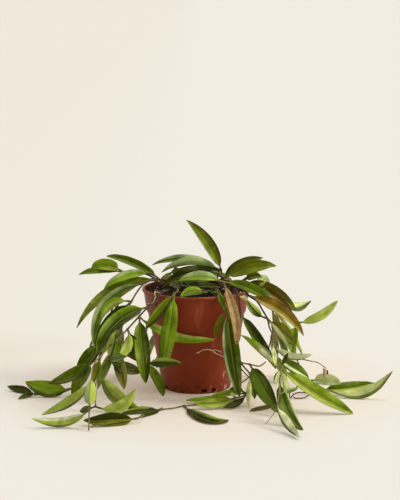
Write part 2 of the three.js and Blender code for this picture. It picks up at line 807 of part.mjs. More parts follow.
for (const vine of vines) {
  addPart(plant, vine.name, vineSolid(vine), LEAF_COLOR, 0.5);
}

export default plant;
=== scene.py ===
"""Potted wax plant: a round nursery pot, its potting mix and trailing leafy stems."""

import math

import bmesh
import bpy
from bpy.props import FloatProperty, FloatVectorProperty, IntProperty, PointerProperty
from bpy.types import Operator, Panel, PropertyGroup
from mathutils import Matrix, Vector, noise


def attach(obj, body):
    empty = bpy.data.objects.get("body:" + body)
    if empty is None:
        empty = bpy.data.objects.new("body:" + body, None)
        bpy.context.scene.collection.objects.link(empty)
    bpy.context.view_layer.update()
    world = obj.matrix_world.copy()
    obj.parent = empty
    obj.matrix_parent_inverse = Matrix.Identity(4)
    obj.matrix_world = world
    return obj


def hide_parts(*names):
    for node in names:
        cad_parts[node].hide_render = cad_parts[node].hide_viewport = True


bl_info = {
    "name": "Potted Wax Plant",
    "version": (1, 0, 0),
    "blender": (4, 5, 0),
    "location": "View3D > Sidebar > Plant",
    "description": "Builds a potted wax plant over its packed frame",
    "category": "Add Mesh",
}

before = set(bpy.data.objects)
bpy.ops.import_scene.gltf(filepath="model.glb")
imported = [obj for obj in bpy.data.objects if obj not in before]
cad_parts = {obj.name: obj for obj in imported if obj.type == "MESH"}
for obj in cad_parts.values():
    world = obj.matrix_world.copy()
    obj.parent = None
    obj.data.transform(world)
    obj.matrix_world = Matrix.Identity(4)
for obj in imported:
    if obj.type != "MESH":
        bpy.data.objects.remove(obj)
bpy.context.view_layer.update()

BODY = "root"
MM = 0.001
FULL_TURN = 6.283
TO_FRONT = Vector((0, -1, 0))

# Shape of the pot and its filling, in millimetres and degrees, as the solids have them.
POT_SIDES = 128
SHARP_ANGLE = 38
CORNER_SHARE = 0.45
COLLAR_HEIGHT = 25.5
LIP_HEIGHT = 3.0
BASE_TOP = 1.6
SLOT_ANGLES = [-68 + pair * 90 + side * 8.5 for pair in range(4) for side in (-1, 1)]
SLOT_WIDTH = 5.4
SLOT_FOOT = 2
SLOT_TOP = 5.6
SLOT_REACH = 4.5
SLOT_ROUNDING = 0.45
SLOT_SIDES = 20
SEAT_GAP = 0.3
WALL_SLACK = 0.25
SOIL_REACH = 58.8
SOIL_SIDES = 120
SOIL_RINGS = 34
CRUMB_RINGS = 4
CRUMB_SIDES = 7
CRUMB_TOP = 6.4

# Stems and leaves, in millimetres, degrees and shares of a length, and the seeds of their draws.
NODE_SWELL = 1.35
STEM_FOOT = 4
BURIED_DEPTHS = (24, 14, 5)
BURIED_SHARE = 0.97
STEM_SIDES = 10
STEM_STEP = 4
JOINT_SHARPNESS = 90
ROOTLET_SIDES = 8
ROOTLET_STEP = 2.5
ROOTLET_KNOBS = 0.18
PETIOLE_LENGTH = 5.5
PETIOLE_SHARE = 0.3
PETIOLE_RADIUS = 1.05
PETIOLE_SWELL = 0.1
PETIOLE_ROWS = 4
BLADE_ROWS = 28
BLADE_EDGE = 0.28
BLADE_BULGE = 0.16
RIB_REACH = 0.8
RIB_END = 0.8
CURL_START = 0.86
PETIOLE_FLATNESS = 0.92
BACK_PALENESS = 0.55
FOLD_SOFTNESS, FOLD_FLOOR, FOLD_SPAN = 0.012, 0.11, 0.895
WIDEST_AT = 0.44
TIP_WIDTH = 0.5
SURFACE_CLEARANCE = 0.25
NEAR_SURFACE = 40
LIFT_PASSES = 12
HALF_BLADE = [0.0, 0.07, 0.2, 0.38, 0.58, 0.76, 0.9, 1.0]
ACROSS = [-a for a in reversed(HALF_BLADE[1:])] + HALF_BLADE
BAND_WAYS = {
    "left": Vector((-1, 0, 0)), "right": Vector((1, 0, 0)),
    "top": Vector((0, 0, 1)), "bottom": Vector((0, 0, -1)),
}
BAND_BLUR = 0.12
END_BLUR = 0.08
BACK_SHOWN = 100
LEAF_SEED = 900
LEAF_SEED_STEP = 37
LEAVES_A_STEM = 40

# The eye point of the front view that the stem plan is drawn in, and its lens.
EYE_ACROSS = 4.1
EYE_DISTANCE = 1800
EYE_HEIGHT = 452
EYE_TILT = 9.36
FOCAL_LENGTH = 118.08
SENSOR_WIDTH = 36

# The stage: a round floor in millimetres, and two wide suns with their aims and angles, in metres
# and radians.
FLOOR_REACH = 46000
FLOOR_HOLE = 5
FLOOR_RINGS = 26
FLOOR_SIDES = 96
SOFTBOXES = [("overhead_softbox", (-0.1, -0.25, -1.0), 0.6), ("right_softbox", (-1.0, 0.25, -0.8), 0.3)]
LIGHT_COLOUR = (1.0, 0.975, 0.94)
LAMP_DISTANCE = 1.5


class Leaf:
    """One leaf: the stem point it springs from, its tip in the front view and its look.

    Its facing is in degrees, and over BACK_SHOWN it turns its pale back. Each band, such as
    bottom=("dark", 0.4), gives another tone from a share of the blade on, and "end" lies at the tip.
    Many bands are painted light: pale, grey and silver bands paint sheen, bright ones paint highlights,
    and dark and deep ones paint shade on the side turned from the light; bronze, rust and straw bands
    are the leaf's own colour.
    """

    def __init__(self, on, tip, wide, face, tone, rise=0.0, near=0.0, fold=24.0, taper=1.5, **bands):
        self.on, self.tip, self.wide, self.face, self.tone = on, tip, wide, face, tone
        self.rise, self.near, self.fold, self.taper = rise, near, fold, taper
        self.bands = [(way, *pair) for way, row in bands.items() for pair in zip(row[::2], row[1::2])]


# Leafy stems: a name, where the stem enters the potting mix (x, y), the points that it runs
# through in the front view (across, up, depth) and its leaves, each on one of those points.
VINES = [
    ("left_inner_vine", (-30, -6), [
        (-38, 116, -9), (-48, 121, -13), (-57, 118, -20), (-64, 111, -36), (-72.5, 97, -56),
        (-80, 80, -66), (-85.5, 60, -74), (-92, 45, -84), (-99.5, 30, -98), (-108, 16, -114),
        (-114, 0, -130), (-114, -24, -146),
    ], [
        Leaf(2, (-114, 40, -34), 15, 25, "mid", rise=0.22, left=("grey", 0.35)),
        Leaf(4, (-107, 75, -60), 12, 165, "lime", rise=0.22, left=("bright", 0.4)),
        Leaf(4, (-114, 40, -72), 17, 20, "dark", rise=0.06),
        Leaf(6, (-108, 39, -78), 14, 150, "lime", near=-0.1, left=("young", 0.2)),
        Leaf(6, (-91, 31, -98), 9, 20, "bright"),
        Leaf(7, (-60, 26, -60), 11, 60, "dark"),
        Leaf(7, (-81, -4, -88), 15, 20, "olive", bottom=("bronze", 0.4)),
        Leaf(8, (-79, 34, -128), 10, 40, "mid"),
        Leaf(8, (-60, 16.5, -66), 14, 20, "dark", rise=-0.04),
        Leaf(9, (-64, -26, -112), 18, 30, "lime", rise=-0.15, bottom=("dark", 0)),
        Leaf(11, (-69, -3, -140), 15, 170, "lime", rise=-0.26),
        Leaf(11, (-132, -30, -128), 8, 30, "mid", bottom=("dark", 0.2)),
        Leaf(7, (-112, -4, -118), 11, 20, "young"),
        Leaf(8, (-90, 64, -112), 11, 30, "lime", right=("dark", 0.4)),
        Leaf(8, (-109, 3, -128), 9, 20, "mid"),
    ]),
    ("left_front_vine", (-22, -22), [
        (-30, 110, -34), (-40, 106, -50), (-54, 91, -60), (-64, 80, -72), (-77, 65.5, -86), (-86, 56, -96),
        (-96, 47, -106), (-107, 35, -118), (-115, 26, -132), (-118.5, 5, -152), (-121, -27, -178),
        (-122, -52.5, -189),
    ], [
        Leaf(2, (-111, 37, -88), 21.5, 40, "mid", rise=0.14, near=0.08, taper=1.05, top=("bright", 0.75),
             bottom=("dark", -0.3)),
        Leaf(3, (-57, 3, -94), 18.5, 0, "mid", fold=25, taper=1.2, right=("dark", 0.5), left=("bright", 0.6)),
        Leaf(3, (20, 54, -60), 14, 50, "bright", rise=-0.15, near=-0.07, taper=1.1, top=("lime", 0.3)),
        Leaf(4, (-88.5, 31.5, -108), 12.5, 170, "lime", rise=-0.17, taper=1.3),
        Leaf(4, (-60, 22, -72), 13, 20, "dark"),
        Leaf(9, (-175, -33, -138), 13, 165, "lime", rise=-0.09, bottom=("dark", 0.35)),
        Leaf(10, (-118.5, 6, -158), 14, 180, "lime", taper=1, left=("grey", 0.1)),
        Leaf(10, (-186, -37, -178), 13, 160, "lime", rise=-0.19, top=("silver", 0.6), bottom=("young", 0.3)),
        Leaf(7, (-117, 2, -134), 10, 20, "olive"),
    ]),
    ("left_crown_stem", (-25, 2), [
        (-34, 116, 4), (-41, 122, 6), (-50, 129, 8), (-66, 131, 8), (-82, 131, 6),
    ], [
        Leaf(1, (-100, 149, 25), 12.5, 45, "mid", rise=0.06, taper=1.1),
        Leaf(2, (-104, 111, -12), 16, 55, "bright", rise=0.08, top=("grey", 0.5)),
        Leaf(1, (-134.5, 67, -20), 15, 40, "young", rise=0.14, bottom=("olive", 0)),
        Leaf(4, (-117, 136, 10), 17, 40, "bright", rise=0.1, taper=1, bottom=("young", -0.2)),
        Leaf(4, (-131, 128, 0), 14, 60, "mid", rise=0.03),
        Leaf(0, (-6, 111, -16), 9, 50, "deep", rise=0.12),
    ]),
    ("left_floor_vine", (-20, 15), [
        (-30, 120, 26), (-50, 122.5, 38), (-70, 118, 36), (-86, 104, 16), (-95, 86, 4), (-100, 68, -4),
        (-105, 52, -14), (-117, 30, -28), (-130, 10, -40), (-141, -3, -48), (-160, -10, -46),
        (-180, -9.5, -42),
    ], [
        Leaf(6, (-136, 13, -30), 18, 20, "mid"),
        Leaf(7, (-167, 3, -52), 15, 25, "mid", rise=-0.08, bottom=("dark", 0)),
        Leaf(9, (-193, 5, -48), 20, 22, "bright", rise=-0.1, bottom=("dark", 0.4)),
        Leaf(11, (-213.5, 0, -20), 10, 30, "dark", rise=-0.03),
        Leaf(11, (-201, -17, -62), 7, 40, "dark", rise=0.08),
        Leaf(7, (-141, -10, -52), 17, 20, "mid"),
        Leaf(0, (20, 122, 31), 14, 25, "deep", rise=0.03),
    ]),
    ("rim_pair_stem", (-16, -33), [
        (-21, 108, -46), (-24.5, 106, -60),
    ], [
        Leaf(1, (-38, 19, -60), 18, 0, "bright", near=0.15, taper=1.2, left=("mid", 0.3)),
        Leaf(1, (-57, 66, -75), 12, 20, "mid", near=0.06, taper=1.2, top=("young", 0.45),
             bottom=("dark", 0.4)),
        Leaf(0, (-19, 121, -20), 16, 30, "deep"),
    ]),
    ("pot_front_stem", (-40, -20), [
        (-46, 109, -41), (-44, 96, -51), (-47, 84, -54), (-54, 70, -56), (-57, 58, -57), (-58, 42, -65),
        (-58, 26, -76),
    ], [
        Leaf(6, (-17, 26.5, -96), 12, 35, "dark", top=("lime", 0.35)),
        Leaf(6, (-37, -12, -58), 12, 20, "mid", rise=0.06, taper=1.1),
        Leaf(6, (-42, 13.5, -64), 6, 60, "bright"),
    ]),
    ("middle_back_stem", (28, 14), [
        (28, 122, 14), (28, 132, 10),
    ], [
        Leaf(1, (-10.5, 189, -20), 15, 15, "young", rise=0.06, left=("pale", 0.84), right=("bronze", 0.6)),
        Leaf(1, (-49, 139, 40), 15, 60, "mid", rise=0.1, top=("grey", 0.4)),
        Leaf(1, (-39, 130.5, 12), 14, 50, "mid", rise=0.15, top=("grey", 0.1), bottom=("dark", 0.5)),
        Leaf(0, (73.5, 147, -12), 16, 45, "young", rise=0.045, top=("mid", 0.5)),
        Leaf(1, (-31, 129, 6), 12, 50, "mid", rise=0.03, bottom=("dark", 0.2)),
    ]),
    ("middle_stem", (27, -4), [
        (29, 114, -5), (31, 124, -6),
    ], [
        Leaf(1, (-40, 112, -12), 15, 40, "deep", rise=0.15),
        Leaf(1, (89, 138, -25), 19, 40, "young", rise=0.05, top=("olive", 0.5)),
        Leaf(0, (-16, 127, -2), 12, 50, "dark", rise=0.17),
        Leaf(1, (12, 127, -13), 8, 50, "dark", rise=0.12),
    ]),
    ("middle_front_stem", (26, -20), [
        (27, 112, -28), (30, 119, -37),
    ], [
        Leaf(1, (-20.5, 120, -34), 15, 50, "bright", rise=0.1, top=("grey", 0.2)),
        Leaf(1, (88, 92, -53), 16, 50, "mid", rise=0.06, near=-0.12),
        Leaf(1, (45, 47, -86), 11.5, 0, "withered", rise=0.07, near=0.3, taper=1),
        Leaf(0, (-2, 113.5, -34), 8, 50, "dark", rise=0.06),
    ]),
    ("rim_front_stem", (8, -34), [
        (10, 108, -42), (12, 107, -50),
    ], [
        Leaf(1, (-18, 102, -66), 15, 55, "mid", rise=0.08, top=("bright", 0.4)),
        Leaf(0, (26, 106, -44), 6, 50, "mid", rise=0.1),
    ]),
    ("right_inner_vine", (39, -18), [
        (43, 115, -22), (52, 112, -31), (58, 104, -43), (68, 97, -56), (73.5, 88, -62), (79.5, 77.5, -68),
        (82, 67, -76), (86.5, 57, -84), (86, 49, -88), (90, 32, -98), (95, 20, -108), (94, 6, -130),
        (93, -10, -150), (91, -23, -164),
    ], [
        Leaf(2, (121, 58, -88), 15, 30, "rust", rise=0.1, near=0.1, top=("bronze", 0.75),
             bottom=("straw", 0.5)),
        Leaf(5, (56, 100, -62), 11, 30, "dark", rise=-0.13, right=("lime", 0.3)),
        Leaf(5, (105, 43, -84), 9, 120, "silver", left=("deep", 0.45)),
        Leaf(5, (110, 48, -60), 18, 20, "olive", left=("bronze", 0.5)),
        Leaf(8, (130, 37, -105), 12, 150, "silver", rise=-0.22, taper=1.2, bottom=("deep", 0.2)),
        Leaf(10, (51, 59, -86), 12, 150, "silver", left=("dark", 0.5), right=("dark", 0.75),
             end=("bright", 0.5)),
        Leaf(8, (88.6, 23, -110), 5.5, 20, "pale"),
        Leaf(10, (103, 38, -112), 5, 20, "dark"),
        Leaf(9, (127.5, 8.5, -106), 15, 40, "mid", bottom=("silver", -0.05, "dark", 0.6)),
        Leaf(10, (177.5, -33, -122), 20, 45, "young", rise=-0.03, taper=1.2, top=("bright", 0.45),
             bottom=("lime", 0.3)),
        Leaf(10, (103, -11, -130), 9, 150, "pale", taper=1.2),
        Leaf(11, (120.5, -53, -186), 15, 10, "mid", rise=-0.08, taper=1.2, right=("pale", 0.8),
             left=("dark", 0.5)),
        Leaf(13, (118, -60, -222), 12, 165, "silver", rise=-0.05, left=("deep", 0.3)),
        Leaf(13, (59.6, -29, -150), 7, 60, "bronze", fold=10, taper=1),
        Leaf(10, (88, 2.8, -130), 7, 20, "pale", left=("dark", 0.5)),
        Leaf(12, (115, -2.5, -130), 6, 40, "mid", top=("grey", 0.2)),
    ]),
    ("right_centre_vine", (36, -27), [
        (42, 112, -38), (47, 103, -54), (49, 84, -60), (46, 55, -64), (47, 33, -72), (51, 27, -80),
        (60, 25, -86), (72, 23, -92), (78, 28, -92),
    ], [
        Leaf(2, (90, 20, -84), 13, 30, "dark", taper=1.2, bottom=("mid", 0.4)),
        Leaf(1, (57, 99, -72), 6, 170, "pale"),
        Leaf(6, (92, -31, -134), 20, 0, "mid", taper=1.4, right=("dark", 0.55)),
    ]),
    ("front_right_vine", (12, -38), [
        (22, 111, -49), (29, 102, -57), (35, 88, -62),
    ], [
        Leaf(0, (32, 86, -64), 8, 25, "mid", rise=0.02, near=0.14),
        Leaf(2, (21, 54, -66), 9, 20, "olive", rise=0.06),
        Leaf(2, (49, -13.5, -94), 20, 0, "dark", rise=-0.02, near=0.05, left=("grey", 0.7),
             right=("mid", 0.35)),
    ]),
    ("floor_runner", (28, -34), [
        (35, 107.5, -45), (38, 104, -52.5), (39, 94, -53), (39, 70, -47), (42, 45, -46), (52, 24, -58),
        (61, 12, -66), (57, -9, -78), (45, -14, -88), (25, -20, -92), (0, -22, -88), (-14, -24, -92),
        (-26, -27.5, -101), (-39, -28.5, -107), (-56, -33, -126), (-66, -37.5, -158),
    ], [
        Leaf(6, (59, -24, -98), 7, 160, "pale"),
        Leaf(6, (66, -15, -80), 10, 20, "dark"),
        Leaf(8, (-3, -20, -104), 14, 50, "young", rise=-0.07, near=0.06, right=("lime", 0)),
        Leaf(8, (-12, -16, -76), 13, 65, "bright", rise=-0.05),
        Leaf(7, (14, -13.5, -60), 10, 60, "bright", rise=0.03),
        Leaf(7, (31, -24.5, -106), 11, 60, "dark", rise=-0.12),
        Leaf(11, (36.5, -40, -150), 15, 70, "deep", near=0.42, taper=1.1, top=("lime", 0.6)),
        Leaf(13, (-86, -33, -126), 11, 55, "deep", top=("young", 0.5)),
        Leaf(13, (-65, -38, -140), 9, 30, "deep", rise=-0.12),
        Leaf(15, (-128, -40, -172), 16, 25, "deep", rise=-0.04, bottom=("olive", 0.45)),
        Leaf(15, (-120, -47, -176), 7, 80, "olive"),
        Leaf(7, (36, -6, -62), 9, 50, "olive", rise=0.1),
        Leaf(8, (38, -8.5, -84), 6, 60, "pale"),
    ]),
    ("right_outer_vine", (25, 26), [
        (38, 114, 22), (52, 119, 14), (62, 116, 8), (73, 113, 2), (88, 104, -4), (97, 95, -8),
        (107, 80, -14), (113, 73, -18), (112, 50, -26), (112, 34, -34), (118, 20, -37), (127, 6, -40),
        (140, -4, -46), (152, -6, -52),
    ], [
        Leaf(2, (82, 112, 22), 12, 60, "lime", rise=0.32, top=("grey", 0.1)),
        Leaf(1, (112, 87, -30), 17, 40, "olive", rise=0.07, bottom=("mid", 0.1), top=("bronze", 0.7)),
        Leaf(3, (75, 119, -16), 8, 150, "pale"),
        Leaf(5, (128, 98, 4), 17, 60, "dark", rise=-0.24, top=("pale", 0.2)),
        Leaf(7, (157.5, 98, -10), 13, 165, "lime", rise=-0.14, taper=1.2),
        Leaf(7, (109, 36, -34), 13, 20, "bright", rise=0.06),
        Leaf(11, (163, 3, -44), 16, 40, "pale", rise=0.05, taper=1.1, bottom=("grey", 0)),
        Leaf(12, (201, 4, -30), 16, 55, "mid", rise=-0.05, bottom=("lime", 0.1)),
        Leaf(13, (220, 17.5, -58), 15, 50, "pale", rise=-0.22, bottom=("mid", 0.1)),
        Leaf(1, (73, 125, 6), 12, 40, "mid", rise=0.14, top=("olive", 0.3)),
        Leaf(3, (108, 83, -50), 12, 30, "rust", rise=0.02, top=("bronze", 0.3), bottom=("straw", 0.5)),
    ]),
]

# Stems at the back and sides arch out of the pot, drop, and carry pairs of drooping leaves: a
# name, where the stem enters the mix, its bearing, reach and lowest point, and its first joint.
HANGING = [
    ("back_left_vine", (-12, 36), 112, 84, 30, 1),
    ("back_right_vine", (8, 40), 70, 82, 22, 1),
    ("left_side_vine", (-40, 16), 158, 98, 40, 2),
    ("right_side_vine", (45, 6), 18, 92, 36, 2),
]
HANG_ORDER = 20
HANG_SEED = 17
HANG_TOP = 128
HANG_LEAN = 8
HANG_SHOULDER = 0.78
HANG_SINK = 4
HANG_DROP = 16
HANG_WANDER = 10
HANG_JOINTS = 3
HANG_LEAF_LENGTH = 60
HANG_LEAF_WIDTH = 14
HANG_SPLAY = 0.2
HANG_TONES = ["dark", "mid", "dark", "bright", "mid", "dark", "olive", "mid"]

# Thin bare roots and tendrils: a name, a radius at each end, a tone and front-view points.
ROOTLETS = [
    ("rim_root", 0.55, 0.45, "ivory", [
        (-41, 107, -44), (-46.5, 107.5, -51), (-46, 101, -57), (-49, 95.5, -58), (-54.5, 94.5, -57),
    ]),
    ("pot_front_root", 0.6, 0.4, "ivory", [
        (0, 37.5, -48.9), (4, 39.5, -48.9), (8, 41.8, -48.7), (13, 42, -47.7), (18, 40.6, -45.9),
        (22, 37.5, -43.6), (26, 35.8, -41), (31, 33.5, -37.2),
    ]),
    ("pot_front_fork", 0.4, 0.3, "ivory", [
        (17, 41, -46.4), (21, 41.5, -45), (25, 40.5, -42.6), (29, 38.2, -39.4),
    ]),
    ("floor_root", 0.45, 0.35, "tan", [
        (91, -24, -163), (88, -31, -161), (83, -38.5, -160), (78, -45.5, -162),
    ]),
    ("right_tendril", 0.75, 0.5, "tan", [
        (114, 32, -35), (122, 30.2, -36), (129, 28.6, -38), (136, 27.2, -40), (140.7, 24.4, -41),
        (145.3, 20.6, -43), (146, 19, -44),
    ]),
    ("right_stub", 2.3, 2.0, "ivory", [(145.3, 10.5, -44), (145, 15, -44.5), (144.4, 20, -45)]),
    ("right_stub_husk", 0.9, 0.6, "bark", [(147.4, 13.5, -48.5), (147.9, 16, -48.5), (147.3, 18.5, -48)]),
    ("right_curl", 0.7, 0.6, "bark", [
        (127, 6, -40), (121, 1.5, -45), (113, -1.5, -52), (107, -5, -57), (105, -9.5, -60),
        (106, -14.5, -60), (109, -10.5, -59), (115, -7.7, -58), (121, -7.7, -57), (125.5, -8.5, -56),
        (127.5, -10, -56), (124, -12.6, -57), (118.5, -15, -58), (113, -15.2, -59), (109.5, -12.5, -61),
    ]),
    ("runner_twig_low", 0.7, 0.6, "bark", [(51, 3.5, -58), (56, 7.5, -62), (62, 12.5, -66)]),
    ("runner_twig_high", 0.7, 0.6, "bark", [(50.5, 19.5, -58), (56, 13.5, -63), (61.5, 7.5, -70)]),
]

# Old leaves on the potting mix: a name, the front-view point of the stalk, the leaf and its number.
LITTER = [
    ("dead_leaf", (9, 109.5, -10), Leaf(0, (-14, 104.5, -42), 8, 60, "olive", rise=0.08), 911),
    ("old_leaf", (-20, 107, -36), Leaf(0, (-28, 119, -24), 12, 25, "olive", rise=0.1), 923),
]


# Sizes and colours that a user may change.
def length(name, about, default):
    """A size that is given in millimetres."""
    return FloatProperty(
        name=name, description=about, default=default * MM, min=0.0, subtype="DISTANCE", unit="LENGTH"
    )


def colour(name, about, default):
    """A display colour."""
    return FloatVectorProperty(
        name=name, description=about, default=default, size=3, min=0.0, max=1.0, subtype="COLOR_GAMMA"
    )


def power(name, about, default):
    """The strength of a light."""
    return FloatProperty(name=name, description=about, default=default, min=0.0)


class PLANT_PG_pot(PropertyGroup):
    height: length("Height", "Height of the pot over the surface", 113)
    foot: length("Foot radius", "Radius of the flat foot", 37.6)
    wall_top: length("Wall top radius", "Radius of the wall just under the collar", 54.2)
    collar_foot: length("Collar foot radius", "Radius at the step of the collar", 55.6)
    collar_top: length("Collar top radius", "Radius of the collar under the lip", 58.8)
    lip: length("Lip radius", "Outer radius of the rolled lip", 60.5)
    wall: length("Wall", "Thickness of the moulded wall", 1.4)
    body: colour("Body", "Terracotta colour of the plastic", (0.52, 0.19, 0.085))
    worn: colour("Worn", "Paler colour of rubbed places", (0.7, 0.36, 0.24))
    # Also painted shade: the inside of the rim above the mix takes this colour.
    grime_and_shade: colour("Grime", "Colour of dried dirt on the wall", (0.27, 0.15, 0.09))
    chalk: colour("Chalk", "Whitish scuffs low on the wall", (0.86, 0.74, 0.64))


class PLANT_PG_soil(PropertyGroup):
    edge: length("Edge height", "Height of the mix at the wall", 107)
    mound: length("Mound", "Rise of the mix in the middle", 2.4)
    crumbs: IntProperty(name="Crumbs", description="Loose crumbs and bark bits on top", default=330, min=0)
    seed: IntProperty(name="Seed", description="Seed of the crumbs", default=41)
    damp: colour("Damp mix", "Dark colour of the damp mix", (0.1, 0.07, 0.05))
    dry: colour("Dry mix", "Pale colour of dry fibres", (0.36, 0.26, 0.17))
    perlite: colour("Perlite", "White grains in the mix", (0.84, 0.8, 0.74))


class PLANT_PG_leaf(PropertyGroup):
    thickness: length("Blade thickness", "Thickness of the blade at its midrib", 1.0)
    groove: length("Midrib groove", "Depth of the groove over the midrib", 0.35)
    keel: length("Midrib keel", "Height of the midrib on the underside", 0.45)
    waviness: length("Waviness", "How far the margins wander", 0.15)
    deep: colour("Deep", "Darkest leaf green", (0.07, 0.09, 0.0))
    dark: colour("Dark", "Dark leaf green", (0.135, 0.18, 0.0))
    mid: colour("Mid", "Usual leaf green", (0.3, 0.39, 0.0))
    bright: colour("Bright", "Fresh leaf green", (0.49, 0.61, 0.08))
    lime: colour("Lime", "Yellow green of young leaves", (0.67, 0.735, 0.31))
    # Real underside colour, and also painted sheen: bands and the sheen patches lay it on upper faces.
    pale: colour("Pale", "Pale green underside", (0.86, 0.89, 0.6))
    silver: colour("Silver", "Whitish sheen of a pale leaf", (0.93, 0.95, 0.73))
    # Painted sheen: this greyish green lies in bands where a blade catches the light.
    grey: colour("Grey", "Greyish green bloom", (0.61, 0.68, 0.46))
    olive: colour("Olive", "Brownish green", (0.42, 0.4, 0.06))
    young: colour("Young", "Yellowish mid green", (0.47, 0.52, 0.1))
    rust: colour("Rust", "Orange brown of an old leaf", (0.57, 0.43, 0.09))
    bronze: colour("Bronze", "Purple brown of a sunned leaf", (0.35, 0.22, 0.1))
    straw: colour("Straw", "Pale stripe of an old leaf", (0.7, 0.62, 0.34))
    withered: colour("Withered", "Tan of a dry leaf", (0.72, 0.59, 0.36))
    margin: colour("Margin", "Dark purple line along the margin", (0.2, 0.1, 0.05))


class PLANT_PG_stem(PropertyGroup):
    root_radius: length("Root radius", "Radius of a stem at the potting mix", 1.1)
    tip_radius: length("Tip radius", "Radius of a stem at its tip", 0.7)
    bark: colour("Bark", "Brown of old stems", (0.31, 0.22, 0.14))
    green: colour("Green stem", "Green of young stems", (0.4, 0.42, 0.18))
    tan: colour("Tan", "Tan of bare roots", (0.66, 0.54, 0.36))
    ivory: colour("Ivory", "Pale skin of a fresh root", (0.9, 0.8, 0.66))


class PLANT_PG_stage(PropertyGroup):
    floor: colour("Floor", "Colour of the pale floor", (0.92, 0.908, 0.882))
    # Painted shade laid on the floor at the far left and around the plant.
    shade: colour("Shade", "Warmer tone at the left and around the plant", (0.87, 0.825, 0.765))
    # Painted light: the floor glows faintly with this colour near the plant, though no lamp is there.
    glow: colour("Glow", "Warm light that the floor gathers under the plant", (1.0, 0.82, 0.66))
    backdrop: colour("Backdrop", "Colour of the studio behind", (0.93, 0.922, 0.893))
    ambient: power("Ambient", "Strength of the soft room light", 0.72)
    key: power("Key light", "Strength of the soft light overhead", 0.75)
    side: power("Side light", "Strength of the soft light from the right", 1.25)


GROUPS = {
    "plant_pot": PLANT_PG_pot,
    "plant_soil": PLANT_PG_soil,
    "plant_leaf": PLANT_PG_leaf,
    "plant_stem": PLANT_PG_stem,
    "plant_stage": PLANT_PG_stage,
}


def linear(shade):
    """Linear colour of a display colour, with full opacity."""
    return tuple(c / 12.92 if c <= 0.04045 else ((c + 0.055) / 1.055) ** 2.4 for c in shade) + (1.0,)


def make_draw(seed):
    """Repeatable draw between 0 and 1."""
    state = [seed & 0xFFFFFFFF]

    def draw():
        state[0] = (state[0] * 1664525 + 1013904223) & 0xFFFFFFFF
        return state[0] / 4294967296

    return draw


def place(point):
    """Millimetre point in space of a point in the front view."""
    across, up, depth = point
    scale = (EYE_DISTANCE + depth) / EYE_DISTANCE
    return Vector((EYE_ACROSS + (across - EYE_ACROSS) * scale, depth, EYE_HEIGHT + (up - EYE_HEIGHT) * scale))


def smooth(low, high, value):
    """Soft step from 0 at low to 1 at high."""
    share = min(1.0, max(0.0, (value - low) / (high - low)))
    return share * share * (3 - 2 * share)


def mix(a, b, share):
    """Colour between a and b."""
    return tuple(p + (q - p) * share for p, q in zip(a, b))


# Shader building.
class Wire:
    """A node's output, with the sums and blends that a finish is written in."""

    def __init__(self, nodes, socket):
        self.nodes, self.socket = nodes, socket

    def maths(self, operation, other=0.0):
        return self.nodes.wire("Math", {"operation": operation}, i0=self, i1=other)

    def __add__(self, other):
        return self.maths("ADD", other)

    def __sub__(self, other):
        return self.maths("SUBTRACT", other)

    def __mul__(self, other):
        return self.maths("MULTIPLY", other)

    def __abs__(self):
        return self.maths("ABSOLUTE")

    def zigzag(self):
        """Rises and falls again with every whole number."""
        return self.maths("PINGPONG", 0.5)

    def spread(self, low, high, to_low=0.0, to_high=1.0):
        """Takes the stretch from low to high smoothly to another one."""
        made = self.nodes.add("MapRange", {"interpolation_type": "SMOOTHSTEP"}, Value=self)
        for name, number in zip(("From Min", "From Max", "To Min", "To Max"), (low, high, to_low, to_high)):
            made.inputs[name].default_value = number
        return Wire(self.nodes, made.outputs[0])

    def over(self, share, shade):
        """This colour with a share of another over it."""
        return self.nodes.blend(share, self, shade)

    def lit(self, factor):
        return self.nodes.lit(self, factor)

    def bump(self, strength, distance, **normal):
        return self.nodes.wire("Bump", Height=self, Strength=strength, Distance=distance, **normal)


class Nodes:
    """Writes shader nodes into a tree. A colour is a wire or a display colour.

    Sockets are named by keyword, or numbered as in i0, and take a wire or a fixed value.
    """

    def __init__(self, tree):
        self.tree = tree
        tree.nodes.clear()

    def add(self, kind, settings=None, **sockets):
        made = self.tree.nodes.new("ShaderNode" + kind)
        for key, value in (settings or {}).items():
            setattr(made, key, value)
        for key, value in sockets.items():
            socket = made.inputs[int(key[1:]) if key[1:].isdigit() else key.replace("_", " ")]
            if isinstance(value, Wire):
                self.tree.links.new(value.socket, socket)
            else:
                socket.default_value = value
        return made

    def wire(self, kind, settings=None, out=0, **sockets):
        return Wire(self, self.add(kind, settings, **sockets).outputs[out])

    def parts(self, vector):
        made = self.add("SeparateXYZ", Vector=vector)
        return [Wire(self, output) for output in made.outputs]

    def size(self, vector):
        return self.wire("VectorMath", {"operation": "LENGTH"}, "Value", i0=vector)

    def blend(self, share, a, b):
        a, b = (shade if isinstance(shade, Wire) else linear(shade) for shade in (a, b))
        return self.wire("Mix", {"data_type": "RGBA", "blend_type": "MIX"}, 2, i0=share, i6=a, i7=b)

    def lit(self, shade, factor):
        shade = shade if isinstance(shade, Wire) else linear(shade)[:3]
        return self.wire("VectorMath", {"operation": "SCALE"}, i0=shade, Scale=factor)


class Finish(Nodes):
    """Nodes of one material around its main shader."""

    def __init__(self, name, **surface):
        self.material = bpy.data.materials.new(name)
        self.material.use_nodes = True
        super().__init__(self.material.node_tree)
        self.shader = self.add("BsdfPrincipled", **surface)
        self.add("OutputMaterial", Surface=Wire(self, self.shader.outputs[0]))
        self.where = self.wire("TexCoord", out="Object")

    def grain(self, scale, detail=3.0, rough=0.55, stretch=(1, 1, 1)):
        """Cloudy noise that is fixed to the piece."""
        where = self.wire("Mapping", Vector=self.where, Scale=stretch)
        return self.wire("TexNoise", out="Fac", Vector=where, Scale=scale, Detail=detail, Roughness=rough)

    def given(self, name, out="Fac"):
        """A look that the mesh carries at its points."""
        return self.wire("Attribute", {"attribute_name": name}, out)

    def done(self, **sockets):
        for key, value in sockets.items():
            self.tree.links.new(value.socket, self.shader.inputs[key.replace("_", " ")])
        return self.material


